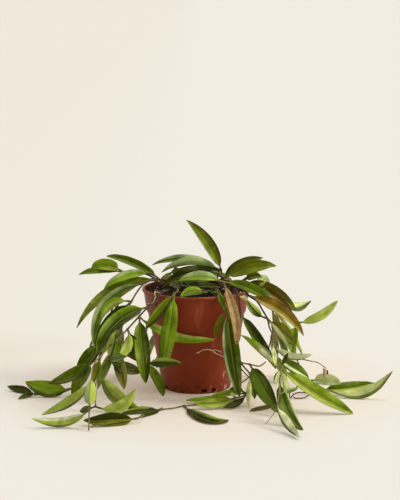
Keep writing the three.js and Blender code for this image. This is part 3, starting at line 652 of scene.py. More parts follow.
def leaf_finish(name, s):
    """Leathery leaf: mottled green with painted sheen and shade patches, pale midrib, purple margin, faint
    veins and pores.
    """
    veins, slant = 26.0, 5.0
    f = Finish(name, Specular_IOR_Level=0.4, Specular_Tint=(0.75, 0.9, 0.12, 1.0))
    across, along, under = abs(f.given("across")), f.given("along"), f.given("under")
    mottle = f.grain(85, 4)
    base = f.given("tone", "Color").lit(mottle.spread(0.3, 0.7, 0.8, 1.18))
    base = base.over(f.grain(28, 2).spread(0.5, 0.72, 0.0, 0.45), base.over(0.5, s.olive))
    # Painted sheen: paler, brighter patches towards the margins.
    painted_sheen = f.grain(40, 2).spread(0.48, 0.68, 0.0, 0.6) * across.spread(0.1, 0.5)
    base = base.over(painted_sheen, base.over(0.18, s.pale).lit(1.5))
    # Painted shade: blotches darkened to half brightness.
    painted_shade_blotches = f.grain(46, 3).spread(0.32, 0.52, 0.75, 0.0)
    base = base.over(painted_shade_blotches, base.lit(0.5))
    ripple = along * veins - across * slant + mottle * 1.2
    vein = ripple.zigzag().spread(0.4, 0.5)
    rib = across.spread(0.02, 0.09, 1.0, 0.0)
    edge = (across + mottle * 0.08).spread(0.94, 1.03, 0.0, 0.4)
    specks = f.wire("TexVoronoi", out="Distance", Vector=f.where, Scale=420.0)
    base = base.over(vein * 0.16, s.lime).over(rib * 0.4, s.lime).over(edge, s.margin)
    base = base.over(specks.spread(0.06, 0.16, 0.25, 0.0), s.lime)
    rough = mottle.spread(0.2, 0.8, 0.26, 0.4) + under * 0.14
    pores = f.grain(900, 2).bump(0.25, 0.0002)
    return f.done(Base_Color=base, Roughness=rough, Normal=vein.bump(0.2, 0.0002, Normal=pores))


def dry_leaf_finish(name, s):
    """Withered leaf: tan, blotched with brown, papery and wrinkled."""
    f = Finish(name, Specular_IOR_Level=0.3)
    across, blotch = abs(f.given("across")), f.grain(130, 4)
    base = f.given("tone", "Color").lit(blotch.spread(0.3, 0.7, 0.72, 1.2))
    base = base.over(blotch.spread(0.58, 0.7, 0.0, 0.6), s.bronze)
    base = base.over(across.spread(0.82, 1.0, 0.0, 0.6), s.margin)
    crease = f.grain(420, 3, 0.6, (1, 1, 0.3)).bump(0.7, 0.0006)
    return f.done(Base_Color=base, Roughness=blotch.spread(0.2, 0.8, 0.6, 0.85), Normal=crease)


def stem_finish(name, s):
    """Woody stem: brown bark with pale flecks, rough and finely ringed."""
    rings_along = 140.0
    f = Finish(name, Specular_IOR_Level=0.35)
    streak = f.grain(260, 4)
    rings = (f.given("along") * rings_along + streak).zigzag().spread(0.3, 0.5)
    flecks = f.grain(700, 1).spread(0.62, 0.7, 0.0, 0.45)
    base = f.given("tone", "Color").lit(streak.spread(0.3, 0.7, 0.6, 1.3))
    base = base.over(rings * 0.25, s.bark).over(flecks, s.tan)
    normal = (streak + rings * 0.6).bump(0.5, 0.0004)
    return f.done(Base_Color=base, Roughness=streak.spread(0.2, 0.8, 0.5, 0.8), Normal=normal)


def pot_finish(name, s):
    """Moulded plastic: terracotta, satin, with rubbed lip, scratches, scuffs, dried dirt and painted shade
    inside the rim.
    """
    f = Finish(name, Specular_IOR_Level=0.36, Specular_Tint=(1.0, 0.6, 0.42, 1.0))
    right, _, height = f.parts(f.where)
    reach = f.size(f.wire("Mapping", Vector=f.where, Scale=(1, 1, 0)))
    cloud, fine = f.grain(22, 4), f.grain(240, 3)
    scratch = f.grain(60, 3, 0.6, (1, 1, 0.08)).spread(0.62, 0.72, 0.0, 0.35)
    rubbed = height.spread(0.1105, 0.1125) * fine.spread(0.35, 0.6, 0.15, 0.75)
    low = height.spread(0.0, 0.022, 0.8, 0.0) * fine.spread(0.42, 0.62)
    spots = low.maths("MAXIMUM", f.grain(130, 2).spread(0.68, 0.76, 0.0, 0.55))
    scuffs = f.grain(170, 2, 0.6, (1, 1, 0.4)).spread(0.6, 0.66) * right.spread(0.005, 0.03)
    scuffs = scuffs * height.spread(0.008, 0.04, 0.55, 0.0)
    # Painted shade: the inner wall above the potting mix darkened with the grime colour.
    painted_inner_shade = reach.spread(0.0577, 0.0582, 0.75, 0.0) * height.spread(0.1045, 0.1055)
    base = f.lit(s.body, cloud.spread(0.3, 0.7, 0.86, 1.12)).over(scratch, s.worn).over(rubbed, s.worn)
    base = base.over(spots, s.grime_and_shade).over(scuffs, s.chalk).over(painted_inner_shade, s.grime_and_shade)
    rough = cloud.spread(0.2, 0.8, 0.38, 0.5) + spots * 0.25
    turned_lines = (height * 900.0).zigzag()
    normal = turned_lines.bump(0.03, 0.0002, Normal=fine.bump(0.12, 0.0003))
    return f.done(Base_Color=base, Roughness=rough, Normal=normal)


def soil_finish(name, s):
    """Potting mix: dark damp crumbs with dry fibres and pale grains between."""
    f = Finish(name, Specular_IOR_Level=0.25)
    crumbs, patches, tone = f.grain(320, 5, 0.7), f.grain(60, 3), f.given("tone")
    base = f.blend(crumbs.spread(0.45, 0.7), s.damp, s.dry).lit(patches.spread(0.3, 0.7, 0.55, 1.25))
    base = base.over(tone.spread(0.0, 0.9, 0.0, 0.6), s.dry).over(tone.spread(0.86, 0.92), s.perlite)
    rough = crumbs.spread(0.3, 0.7, 0.8, 0.98)
    return f.done(Base_Color=base, Roughness=rough, Normal=crumbs.bump(0.9, 0.0012))


def floor_finish(name, s):
    """Matt paper floor with painted shade, warmer and darker at the far left and around the plant, and a
    painted glow near the plant.
    """
    f = Finish(name, Specular_IOR_Level=0.15, Emission_Strength=1.0)
    right, back, _ = f.parts(f.where)
    reach, fibre = f.size(f.where), f.grain(400, 3)
    # Painted shade: a warmer, darker band across the far floor at the left, and a ring around the plant.
    band = back.spread(-0.02, 0.09) * back.spread(0.16, 0.34, 1.0, 0.25)
    warm = right.spread(-0.5, 0.05, 0.75, 0.0) * band
    shaded = warm.maths("MAXIMUM", reach.spread(0.14, 0.28, 0.42, 0.0))
    base = f.blend(shaded, s.floor, s.shade).lit(fibre.spread(0.3, 0.7, 0.985, 1.01))
    # Painted light: the floor gives off a faint warm glow near the plant, lightening the shade under it.
    glow = f.lit(s.glow, reach.spread(0.05, 0.3, 0.11, 0.0))
    rough = fibre.spread(0.2, 0.8, 0.75, 0.9)
    return f.done(Base_Color=base, Roughness=rough, Normal=fibre.bump(0.1, 0.0002), Emission_Color=glow)


FINISHES = {
    "leathery_leaf": (leaf_finish, "plant_leaf"),
    "withered_leaf": (dry_leaf_finish, "plant_leaf"),
    "stem_bark": (stem_finish, "plant_stem"),
    "terracotta_plastic": (pot_finish, "plant_pot"),
    "potting_mix_crumbs": (soil_finish, "plant_soil"),
    "paper_floor": (floor_finish, "plant_stage"),
}


def finishes(scene, *names):
    """The named materials, each made where it is first asked for."""
    made = []
    for name in names:
        maker, group = FINISHES[name]
        made.append(bpy.data.materials.get(name) or maker(name, getattr(scene, group)))
    return made


# Mesh building.
def circle(radius, sides):
    """Points spaced evenly around the middle, as (x, y) pairs."""
    turns = (2 * math.pi * k / sides for k in range(sides))
    return [(radius * math.cos(turn), radius * math.sin(turn)) for turn in turns]


def ring_faces(first, rings, around, capped=True):
    """Faces between closed rings of points that lie one after the other, and caps at the ends."""
    faces = []
    last = first + (rings - 1) * around
    for a in range(first, last, around):
        b = a + around
        for k in range(around):
            n = (k + 1) % around
            faces.append((a + k, a + n, b + n, b + k))
    if capped:
        faces += [tuple(reversed(range(first, first + around))), tuple(range(last, last + around))]
    return faces


def add_mesh(name, points, faces):
    """An object of points in millimetres, with its faces turned outwards."""
    mesh = bpy.data.meshes.new(name)
    mesh.from_pydata([tuple(p * MM) for p in points], [], faces)
    work = bmesh.new()
    work.from_mesh(mesh)
    bmesh.ops.recalc_face_normals(work, faces=work.faces)
    work.to_mesh(mesh)
    work.free()
    made = bpy.data.objects.new(name, mesh)
    bpy.context.collection.objects.link(made)
    return made


class Skin:
    """Points, faces and per-point looks of one piece, in millimetres until it is made."""

    def __init__(self):
        self.points, self.looks, self.faces, self.slots = [], [], [], []

    def point(self, position, tone=(0, 0, 0, 1), across=0.0, along=0.0, under=0.0):
        self.points.append(position)
        self.looks.append((tone, across, along, under))

    def cover(self, faces, slot=0):
        self.faces += faces
        self.slots += [slot] * len(faces)

    def make(self, name, materials):
        made = add_mesh(name, self.points, self.faces)
        mesh = made.data
        mesh.polygons.foreach_set("material_index", self.slots)
        mesh.shade_smooth()
        tones, *others = zip(*self.looks)
        for key, values in zip(("across", "along", "under"), others):
            mesh.attributes.new(key, "FLOAT", "POINT").data.foreach_set("value", values)
        colours = mesh.attributes.new("tone", "FLOAT_COLOR", "POINT")
        colours.data.foreach_set("color", [c for tone in tones for c in tone])
        for material in materials:
            mesh.materials.append(material)
        return made


def settle(piece, slot, *nodes):
    """Puts a piece on the body in place of its nodes; the slot is not used."""
    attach(piece, BODY)
    if nodes:
        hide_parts(*nodes)


def curve_points(points, step):
    """Points along a smooth centripetal curve through the given points, with their place."""
    ends = [points[0] * 2 - points[1], *points, points[-1] * 2 - points[-2]]
    spans = len(points) - 1
    made = []
    for i in range(spans):
        p0, p1, p2, p3 = ends[i : i + 4]
        t0, t1, t2 = (max((b - a).length ** 0.5, 1e-4) for a, b in ((p0, p1), (p1, p2), (p2, p3)))
        m1 = ((p1 - p0) / t0 - (p2 - p0) / (t0 + t1) + (p2 - p1) / t1) * t1
        m2 = ((p2 - p1) / t1 - (p3 - p1) / (t1 + t2) + (p3 - p2) / t2) * t1
        cuts = max(2, math.ceil((p2 - p1).length / step))
        for cut in range(cuts + (i == spans - 1)):
            s = cut / cuts
            spot = p1 + m1 * s + (p1 * -3 + p2 * 3 - m1 * 2 - m2) * s * s
            spot += (p1 * 2 - p2 * 2 + m1 + m2) * s**3
            made.append((spot, i + s))
    return made


def tube(skin, stations, around, slot):
    """A round skin over (point, radius, tone) stations, kept clear of the surface below."""
    first = len(skin.points)
    side = Vector((1, 0, 0))
    last = len(stations) - 1
    for i, (spot, radius, tone) in enumerate(stations):
        run = (stations[min(last, i + 1)][0] - stations[max(0, i - 1)][0]).normalized()
        side = (side - run * side.dot(run)).normalized()
        up = run.cross(side)
        lift = max(0.0, SURFACE_CLEARANCE + radius - spot.z) if spot.z < NEAR_SURFACE else 0.0
        for x, y in circle(1, around):
            corner = spot + side * radius * x + up * radius * y
            corner.z += lift
            skin.point(corner, tone, 0.5, i / last)
    skin.cover(ring_faces(first, last + 1, around), slot)


def blade_width(share, taper):
    """Share of its greatest width that a blade has at a share of its length."""
    if share <= 0:
        return 0.0
    root = (share / WIDEST_AT) ** (taper * WIDEST_AT)
    return root * max(0.0, (1 - share) / (1 - WIDEST_AT)) ** (taper * (1 - WIDEST_AT))


def leaf_frame(along, chord, front, turn):
    """Normal and side of a blade that turns from facing the front towards facing up."""
    facing = (front - along * front.dot(along)).normalized()
    sign = -1 if chord.cross(front).z < 0 else 1
    up = along.cross(facing) * sign
    normal = facing * math.cos(turn) + up * math.sin(turn)
    return normal, along.cross(normal)


def grow_leaf(skin, s, base, tip, front, look, tones, number, slot):
    """A lance-shaped leathery blade on a short stalk, channelled above and keeled below."""
    chord = tip - base
    size = chord.length
    middle, _ = leaf_frame(chord.normalized(), chord, front, math.radians(90))
    bow = middle * look.rise * size + front * look.near * size
    stalk = min(PETIOLE_LENGTH / size, PETIOLE_SHARE)
    draw = make_draw(LEAF_SEED + number * LEAF_SEED_STEP)
    waves = 2.5 + 2 * draw()
    phase = [draw() * FULL_TURN, draw() * FULL_TURN]
    curl = 0.5 + draw()
    fade = 0.94 + 0.12 * draw()
    tone = tuple(c * fade for c in tones[look.tone][:3]) + (1.0,)
    back_shown = look.face > BACK_SHOWN
    other = mix(tone, tones["mid" if back_shown else "pale"], BACK_PALENESS)
    shades = {1: other, -1: tone} if back_shown else {1: tone, -1: other}
    banded = -1 if back_shown else 1
    thick, groove, keel, wander = (v / MM for v in (s.thickness, s.groove, s.keel, s.waviness))
    ribs = {1: groove, -1: keel}
    turn, lift = math.radians(look.face), math.radians(look.fold)
    spacing = [0.5 - 0.5 * math.cos(math.pi * k / BLADE_ROWS) for k in range(BLADE_ROWS + 1)]
    rows = [stalk * k / PETIOLE_ROWS for k in range(PETIOLE_ROWS)]
    rows += [stalk + (1 - stalk) * step for step in spacing]
    rings = []
    for at in rows:
        share = (at - stalk) / (1 - stalk)
        centre = base + chord * at + bow * (4 * at * (1 - at))
        run = (chord + bow * (4 - 8 * at)).normalized()
        normal, side = leaf_frame(run, chord, front, turn)
        opened = smooth(-0.02, 0.1, share)
        half = max(look.wide * blade_width(share, look.taper), TIP_WIDTH) / 2
        radius = PETIOLE_RADIUS + PETIOLE_SWELL * max(0.0, 1 - at / stalk)
        bands, ends = [], []
        for way, shade, start in look.bands:
            if way == "end":
                ends.append((tones[shade], start))
            else:
                bands.append((math.copysign(1, side.dot(BAND_WAYS[way])), tones[shade], start))
        ring = []
        for face, columns in ((1, ACROSS), (-1, ACROSS[-2:0:-1])):
            for a in columns:
                wide = abs(a)
                vee = (math.sqrt(wide * wide + FOLD_SOFTNESS) - FOLD_FLOOR) / FOLD_SPAN
                sway = wander * math.sin(share * waves * FULL_TURN + phase[a > 0]) * wide**3
                body = thick * (0.5 - BLADE_EDGE * wide**3) + BLADE_BULGE * math.sin(math.pi * wide)
                high = half * math.sin(lift) * vee + face * body * (wide != 1)
                high += sway * min(1.0, half / 5) - curl * smooth(CURL_START, 1.0, share)
                at_rib = math.exp(-((a * half / RIB_REACH) ** 2)) * (1 - smooth(RIB_END, 1.0, share))
                high -= at_rib * ribs[face]
                blade = side * a * half * math.cos(lift) + normal * high
                bulge = math.cos(math.asin(a)) * face
                stick = side * radius * a + normal * radius * PETIOLE_FLATNESS * bulge
                spot = centre + stick * (1 - opened) + blade * opened
                shade = shades[face]
                # Bands paint sheen, highlights and shade on one side of the blade, as well as the leaf's own
                # patches of colour.
                if face == banded:
                    for sign, other, start in bands:
                        shade = mix(shade, other, smooth(start - BAND_BLUR, start + BAND_BLUR, a * sign))
                for other, start in ends:
                    shade = mix(shade, other, smooth(start - END_BLUR, start + END_BLUR, share))
                shade = mix(tones["stalk"], shade, smooth(-0.05, 0.06, share))
                ring.append((spot, shade, a if share > 0 else 0.5, share, 0.0 if face > 0 else 1.0))
        rings.append(ring)
    lifts = [max(0.0, SURFACE_CLEARANCE - min(spot.z for spot, *_ in ring)) for ring in rings]
    for _ in range(LIFT_PASSES):
        beside = zip([lifts[0], *lifts], lifts, [*lifts[1:], lifts[-1]])
        lifts = [max(lift, (before + after) / 2) for before, lift, after in beside]
    first = len(skin.points)
    for lift, ring in zip(lifts, rings):
        for spot, *rest in ring:
            spot.z += lift
            skin.point(spot, *rest)
    skin.cover(ring_faces(first, len(rows), 2 * len(ACROSS) - 2), slot)


def grow_stem(skin, scene, root, points, joints, tones, slot):
    """The stem from under the potting mix to its tip, swollen at the joints."""
    s = scene.plant_stem
    foot = Vector((*root, soil_height(scene.plant_soil, *root) + STEM_FOOT))
    thick, thin = s.root_radius / MM, s.tip_radius / MM
    outer = mix(tones["green"], tones["tan"], 0.5)
    buried = [foot - Vector((0, 0, depth)) for depth in BURIED_DEPTHS]
    stations = [(spot, thick * BURIED_SHARE, tones["bark"]) for spot in buried]
    for spot, at in curve_points([foot, *points], STEM_STEP):
        share = at / len(points)
        near_joint = max(math.exp(-((at - joint) ** 2) * JOINT_SHARPNESS) for joint in joints)
        swell = max(1.0, 1 + (NODE_SWELL - 1) * near_joint)
        knot = (swell - 1) / (NODE_SWELL - 1)
        tone = mix(mix(tones["bark"], outer, smooth(0.3, 0.62, share) * 0.85), tones["bark"], knot * 0.6)
        stations.append((spot, (thick + (thin - thick) * share) * swell, tone))
    tube(skin, stations, STEM_SIDES, slot)


def hanging_vine(root, bearing, reach, lowest, first, draw):
    """Joints and drooping leaves of a stem at the back or a side, drawn in a fixed order."""
    angle = math.radians(bearing)
    out = Vector((math.cos(angle), math.sin(angle), 0))
    across = Vector((-out.y, out.x, 0))
    shoulder = (out.x * reach * HANG_SHOULDER, out.y * reach * HANG_SHOULDER, HANG_TOP - HANG_SINK)
    points = [Vector((*root, HANG_TOP - HANG_LEAN)) + out * HANG_LEAN, Vector(shoulder)]
    top = HANG_TOP - HANG_DROP
    for joint in range(HANG_JOINTS):
        drop = (joint + 1) / HANG_JOINTS
        spot = out * reach * (0.9 + 0.1 * math.sin(drop * 3))
        spot += across * (draw() - 0.5) * HANG_WANDER
        spot.z = top + (lowest - top) * drop**0.9
        points.append(spot)
    leaves = []
    for joint in range(first, len(points)):
        base = points[joint]
        for hand in (-1, 1):
            long = HANG_LEAF_LENGTH * (0.85 + 0.3 * draw())
            splay = hand * (HANG_SPLAY + 0.12 * draw())
            tip = base + across * splay * long
            tip += out * (0.16 + 0.3 * draw()) * long
            tip.z = max(3, base.z - long * (0.72 + 0.2 * draw()))
            face = 20 + 30 * draw()
            wide = HANG_LEAF_WIDTH * (0.9 + 0.3 * draw())
            tone = HANG_TONES[(joint * 2 + hand + len(leaves)) % len(HANG_TONES)]
            leaves.append((base, tip, out, Leaf(joint, None, wide, face, tone, rise=0.08)))
    return points, leaves


def planned_vine(stem, leaves):
    """Joints and leaves of a stem that is drawn in the front view."""
    points = [place(p) for p in stem]
    return points, [(points[look.on], place(look.tip), TO_FRONT, look) for look in leaves]


def tone_table(scene):
    """Each leaf and stem colour by its name, and the colour of leaf stalks."""
    tones = {}
    for key in ("plant_leaf", "plant_stem"):
        group = getattr(scene, key)
        for name, prop in group.bl_rna.properties.items():
            if prop.type == "FLOAT" and prop.is_array:
                tones[name] = linear(getattr(group, name))
    tones["stalk"] = mix(tones["bark"], tones["green"], 0.65)
    return tones


def build_vine(scene, name, root, points, leaves, order):
    """One leafy stem in place of its node."""
    tones = tone_table(scene)
    skin = Skin()
    joints = {points.index(base) + 1 for base, *_ in leaves}
    grow_stem(skin, scene, root, points, joints, tones, 1)
    for index, (base, tip, front, look) in enumerate(leaves):
        slot = 2 if look.tone == "withered" else 0
        number = order * LEAVES_A_STEM + index
        grow_leaf(skin, scene.plant_leaf, base, tip, front, look, tones, number, slot)
    vine = skin.make(name + "_foliage", finishes(scene, "leathery_leaf", "stem_bark", "withered_leaf"))
    settle(vine, "leaf", name)


# Pot and potting mix.
def pot_profile(s):
    """Half section of the wall, outside then inside, with rounded corners, in millimetres."""
    height, foot, wall_top, collar_foot, collar_top, lip, wall = (
        v / MM for v in (s.height, s.foot, s.wall_top, s.collar_foot, s.collar_top, s.lip, s.wall)
    )
    step, under_lip = height - COLLAR_HEIGHT, height - LIP_HEIGHT
    outside = [
        (0, 0.9, 0), (foot - 4, 0.9, 0.4), (foot - 3, 0, 0.4), (foot, 0, 0.5), (foot + 1.05, 1.4, 0.6),
        (foot + 1.3, 5.4, 0.4), (wall_top, step - 1.4, 0.6), (collar_foot, step, 0.7),
        (collar_top, under_lip - 0.8, 0.5), (lip, under_lip, 0.7), (lip, height, 1.1),
        (lip - 2.9, height, 0.9),
    ]
    inside = [
        (collar_top - wall, under_lip - 1.6, 0.5), (collar_foot - wall, step + 0.6, 0.5),
        (wall_top - wall, step - 1.2, 0.5), (foot + 1.3 - wall, 6, 0.5), (foot - 0.6, BASE_TOP, 0.5),
        (0, BASE_TOP, 0),
    ]
    corners = outside + inside
    made = []
    for i, (r, z, bend) in enumerate(corners):
        if not bend:
            made.append((r, z))
            continue
        here = Vector((r, z))
        back, on = (Vector(corners[other][:2]) - here for other in (i - 1, i + 1))
        start = here + back.normalized() * min(bend, back.length * CORNER_SHARE)
        stop = here + on.normalized() * min(bend, on.length * CORNER_SHARE)
        for t in (0, 0.25, 0.5, 0.75, 1):
            spot = start * (1 - t) ** 2 + here * 2 * t * (1 - t) + stop * t * t
            made.append((spot.x, spot.y))
    return made


def turned(profile, sides, name):
    """A closed turned body from a half section whose ends lie on the axis."""
    points = [Vector((0, 0, profile[0][1]))]
    for r, z in profile[1:-1]:
        points += [Vector((x, y, z)) for x, y in circle(r, sides)]
    points.append(Vector((0, 0, profile[-1][1])))
    last = len(points) - 1
    faces = ring_faces(1, len(profile) - 2, sides, capped=False)
    for k in range(sides):
        n = (k + 1) % sides
        faces += [(0, 1 + n, 1 + k), (last - sides + k, last - sides + n, last)]
    return add_mesh(name, points, faces)


def drain_cutter(foot):
    """Rounded pegs that cut the drain slots at the foot of the wall."""
    points, faces = [], []
    for degrees in SLOT_ANGLES:
        angle = math.radians(degrees)
        out = Vector((math.cos(angle), math.sin(angle), 0))
        across = Vector((-out.y, out.x, 0))
        faces += ring_faces(len(points), 2, SLOT_SIDES)
        for reach in (foot - SLOT_REACH, foot + SLOT_REACH):
            for x, y in circle(1, SLOT_SIDES):
                wide = math.copysign(abs(x) ** SLOT_ROUNDING, x) * SLOT_WIDTH / 2
                high = math.copysign(abs(y) ** SLOT_ROUNDING, y) * (SLOT_TOP - SLOT_FOOT) / 2
                up = Vector((0, 0, high + (SLOT_TOP + SLOT_FOOT) / 2))
                points.append(out * reach + across * wide + up)
    return add_mesh("drain_cutter", points, faces)


def apply_modifiers(piece):
    """Keeps the mesh that the modifiers give."""
    graph = bpy.context.evaluated_depsgraph_get()
    mesh = bpy.data.meshes.new_from_object(piece.evaluated_get(graph))
    piece.modifiers.clear()
    old, piece.data = piece.data, mesh
    bpy.data.meshes.remove(old)


def soil_height(settings, x, y):
    """Height of the smooth top of the mix, in millimetres."""
    edge, mound = settings.edge / MM, settings.mound / MM
    share = min(1.0, math.hypot(x, y) / SOIL_REACH)
    return edge + mound * (1 - share * share)


def build_pot(scene):
    """The turned pot with its drain slots cut through."""
    s = scene.plant_pot
    pot = turned(pot_profile(s), POT_SIDES, "nursery_pot_wall")
    cutter = drain_cutter(s.foot / MM)
    cut = pot.modifiers.new("drain slots", "BOOLEAN")
    cut.operation, cut.solver, cut.object = "DIFFERENCE", "EXACT", cutter
    apply_modifiers(pot)
    bpy.data.objects.remove(cutter)
    pot.data.shade_smooth()
    pot.data.set_sharp_from_angle(angle=math.radians(SHARP_ANGLE))
    pot.data.materials.append(*finishes(scene, "terracotta_plastic"))
    settle(pot, "pot", "nursery_pot")


def add_crumb(skin, s, rim, draw):
    """A loose crumb on the mix, squashed a little and turned at random."""
    reach, angle = rim * 0.96 * math.sqrt(draw()), draw() * FULL_TURN
    x, y = reach * math.cos(angle), reach * math.sin(angle)
    size, long = 0.7 + 1.7 * draw() ** 2, 1 + 1.6 * draw() ** 3
    turn, seed = draw() * FULL_TURN, draw() * 90
    cos, sin = math.cos(turn), math.sin(turn)
    top, lift = s.edge / MM + CRUMB_TOP, soil_height(s, x, y) + size * 0.3
    pale = draw() ** 2
    skin.cover(ring_faces(len(skin.points), CRUMB_RINGS, CRUMB_SIDES))
    for ring in range(1, CRUMB_RINGS + 1):
        polar = math.pi * ring / (CRUMB_RINGS + 1)
        for a, b in circle(1, CRUMB_SIDES):
            spot = Vector((math.sin(polar) * a * long, math.sin(polar) * b, math.cos(polar)))
            spot *= size * (0.75 + 0.5 * noise.noise(spot * 1.3 + Vector((seed, 0, 0))))
            high = min(top, spot.z * 0.8 + lift)
            spot = Vector((spot.x * cos - spot.y * sin + x, spot.x * sin + spot.y * cos + y, high))
            skin.point(spot, (pale, pale, pale, 1.0))


def build_soil(scene):
    """The filling with a crumbly top, loose crumbs and bits of bark."""
    s, pot = scene.plant_soil, scene.plant_pot
    draw = make_draw(s.seed)
    inner = pot.wall / MM + SEAT_GAP + WALL_SLACK
    step, under_lip = pot.height / MM - COLLAR_HEIGHT, pot.height / MM - LIP_HEIGHT
    edge = s.edge / MM
    rim_share = (edge - step) / (under_lip - step)
    rim = (pot.collar_foot + (pot.collar_top - pot.collar_foot) * rim_share) / MM - inner
    rows = [
        (pot.foot / MM - 1.4, BASE_TOP + SEAT_GAP), (pot.foot / MM + 1.2 - inner, 6.6),
        (pot.wall_top / MM - inner, step - 1.2), (pot.collar_foot / MM - inner, step + 1), (rim, edge - 0.8),
    ]
    rows += [(rim * k / SOIL_RINGS, None) for k in range(SOIL_RINGS - 1, 0, -1)]
    skin = Skin()
    for r, z in rows:
        for x, y in circle(r, SOIL_SIDES):
            high = z
            if z is None:
                rough = noise.fractal(Vector((x, y, 0)) * 0.22, 0.8, 2.1, 4)
                lumps = noise.noise(Vector((x * 0.55, y * 0.55, 5)))
                high = soil_height(s, x, y) + 1.1 * rough + 0.7 * lumps
            skin.point(Vector((x, y, high)))
    skin.cover(ring_faces(0, len(rows), SOIL_SIDES))
    for _ in range(s.crumbs):
        add_crumb(skin, s, rim, draw)
    settle(skin.make("potting_mix_crumbly", finishes(scene, "potting_mix_crumbs")), "soil", "potting_mix")


def build_rootlets(scene):
    """Bare aerial roots and tendrils, each its own piece."""
    tones = tone_table(scene)
    for name, thick, thin, tone, plan in ROOTLETS:
        run = curve_points([place(p) for p in plan], ROOTLET_STEP)
        stations = []
        for i, (spot, _) in enumerate(run):
            share = i / (len(run) - 1)
            knobs = 1 + ROOTLET_KNOBS * noise.noise(spot * 0.4)
            stations.append((spot, (thick + (thin - thick) * share) * knobs, tones[tone]))
        skin = Skin()
        tube(skin, stations, ROOTLET_SIDES, 0)
        settle(skin.make(name, finishes(scene, "stem_bark")), "leaf")


def build_litter(scene):
    """Two old leaves on the potting mix, one by the rim and one in the middle."""
    tones = tone_table(scene)
    for name, base, look, number in LITTER:
        skin = Skin()
        grow_leaf(skin, scene.plant_leaf, place(base), place(look.tip), TO_FRONT, look, tones, number, 0)
        settle(skin.make(name, finishes(scene, "withered_leaf")), "leaf")


# Stage.
def build_camera(scene):
    """The camera of the front view."""
    camera_data = bpy.data.cameras.new("front_camera")
    camera_data.lens, camera_data.sensor_width = FOCAL_LENGTH, SENSOR_WIDTH
    camera_data.clip_start, camera_data.clip_end = 0.05, 60
    camera = bpy.data.objects.new("front_camera", camera_data)
    camera.location = Vector((EYE_ACROSS, -EYE_DISTANCE, EYE_HEIGHT)) * MM
    camera.rotation_euler = (math.radians(90 - EYE_TILT), 0, 0)
    bpy.context.collection.objects.link(camera)
    scene.camera = camera


def build_floor(scene):
    """The pale floor, out to the horizon."""
    skin = Skin()
    for ring in range(FLOOR_RINGS):
        for x, y in circle(FLOOR_REACH * (ring / (FLOOR_RINGS - 1)) ** 3 + FLOOR_HOLE, FLOOR_SIDES):
            skin.point(Vector((x, y, 0)))
    skin.cover(ring_faces(0, FLOOR_RINGS, FLOOR_SIDES, capped=False) + [tuple(range(FLOOR_SIDES))])
    floor = skin.make("studio_floor", finishes(scene, "paper_floor"))


def build_light(scene):
    """Room light that is brighter ahead and at the right, and two wide suns."""
    s = scene.plant_stage
    world = bpy.data.worlds.new("studio")
    world.use_nodes = True
    n = Nodes(world.node_tree)
    right, back, _ = n.parts(n.wire("TexCoord", out="Generated"))
    glow = back.spread(-0.95, 0.1, 0.5, 1.0) + right.spread(-0.6, 0.9, -0.12, 0.5)
    glow = glow + right.spread(-0.13, 0.1, -0.035, 0.01)
    n.add("OutputWorld", Surface=n.wire("Background", Color=n.lit(s.backdrop, glow), Strength=s.ambient))
    scene.world = world
    for (name, aim, angle), strength in zip(SOFTBOXES, (s.key, s.side)):
        light = bpy.data.lights.new(name, "SUN")
        light.angle, light.energy, light.color = angle, strength, LIGHT_COLOUR
        lamp = bpy.data.objects.new(name, light)
        lamp.rotation_euler = Vector(aim).to_track_quat("-Z", "Y").to_euler()
        lamp.location = Vector(aim) * -LAMP_DISTANCE
        bpy.context.collection.objects.link(lamp)


# Operators.
class PLANT_OT_stage(Operator):
    """Make the floor, the studio light and the camera"""

    bl_idname = "plant.make_stage"
    bl_label = "Make stage"

    def execute(self, context):
        build_camera(context.scene)
        build_floor(context.scene)
        build_light(context.scene)
        context.scene.view_settings.view_transform = "Standard"
        return {"FINISHED"}


class PLANT_OT_pot(Operator):
    """Make the nursery pot"""

    bl_idname = "plant.make_pot"
    bl_label = "Make pot"

    def execute(self, context):
        build_pot(context.scene)
        return {"FINISHED"}


class PLANT_OT_soil(Operator):
    """Make the potting mix with its crumbs"""

    bl_idname = "plant.make_soil"
    bl_label = "Make potting mix"

    def execute(self, context):
        build_soil(context.scene)
        return {"FINISHED"}


class PLANT_OT_stems(Operator):
    """Make the leafy stems that the front view shows"""

    bl_idname = "plant.make_stems"
    bl_label = "Make leafy stems"

    def execute(self, context):
        for order, (name, root, stem, leaves) in enumerate(VINES):
            build_vine(context.scene, name, root, *planned_vine(stem, leaves), order)
        return {"FINISHED"}


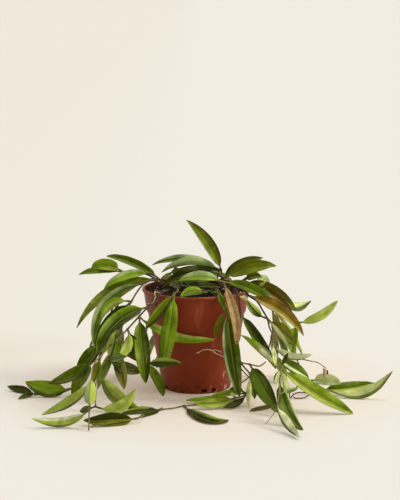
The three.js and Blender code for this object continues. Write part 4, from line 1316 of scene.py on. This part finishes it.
class PLANT_OT_hanging_stems(Operator):
    """Make the leafy stems that hang over the back and sides"""

    bl_idname = "plant.make_hanging_stems"
    bl_label = "Make hanging stems"

    def execute(self, context):
        draw = make_draw(HANG_SEED)
        for order, (name, root, *plan) in enumerate(HANGING, HANG_ORDER):
            build_vine(context.scene, name, root, *hanging_vine(root, *plan, draw), order)
        return {"FINISHED"}


class PLANT_OT_rootlets(Operator):
    """Make the bare roots and tendrils"""

    bl_idname = "plant.make_rootlets"
    bl_label = "Make rootlets"

    def execute(self, context):
        build_rootlets(context.scene)
        return {"FINISHED"}


class PLANT_OT_litter(Operator):
    """Make the old leaves on the potting mix"""

    bl_idname = "plant.make_litter"
    bl_label = "Make litter"

    def execute(self, context):
        build_litter(context.scene)
        return {"FINISHED"}


STEPS = (
    PLANT_OT_stage,
    PLANT_OT_pot,
    PLANT_OT_soil,
    PLANT_OT_stems,
    PLANT_OT_hanging_stems,
    PLANT_OT_rootlets,
    PLANT_OT_litter,
)


class PLANT_PT_sidebar(Panel):
    """Sizes, colours and steps of the potted plant"""

    bl_label = "Potted Wax Plant"
    bl_idname = "PLANT_PT_sidebar"
    bl_space_type = "VIEW_3D"
    bl_region_type = "UI"
    bl_category = "Plant"

    def draw(self, context):
        for step in STEPS:
            self.layout.operator(step.bl_idname)
        for key, group in GROUPS.items():
            box = self.layout.box()
            box.label(text=key.replace("_", " "))
            for prop in group.__annotations__:
                box.prop(getattr(context.scene, key), prop)


CLASSES = (*GROUPS.values(), *STEPS, PLANT_PT_sidebar)


def register():
    for cls in CLASSES:
        bpy.utils.register_class(cls)
    for key, group in GROUPS.items():
        setattr(bpy.types.Scene, key, PointerProperty(type=group))


def unregister():
    for key in GROUPS:
        delattr(bpy.types.Scene, key)
    for cls in reversed(CLASSES):
        bpy.utils.unregister_class(cls)


def main():
    """Makes every piece in order."""
    register()
    bpy.ops.plant.make_stage()
    bpy.ops.plant.make_pot()
    bpy.ops.plant.make_soil()
    bpy.ops.plant.make_stems()
    bpy.ops.plant.make_hanging_stems()
    bpy.ops.plant.make_rootlets()
    bpy.ops.plant.make_litter()


if __name__ == "__main__":
    main()
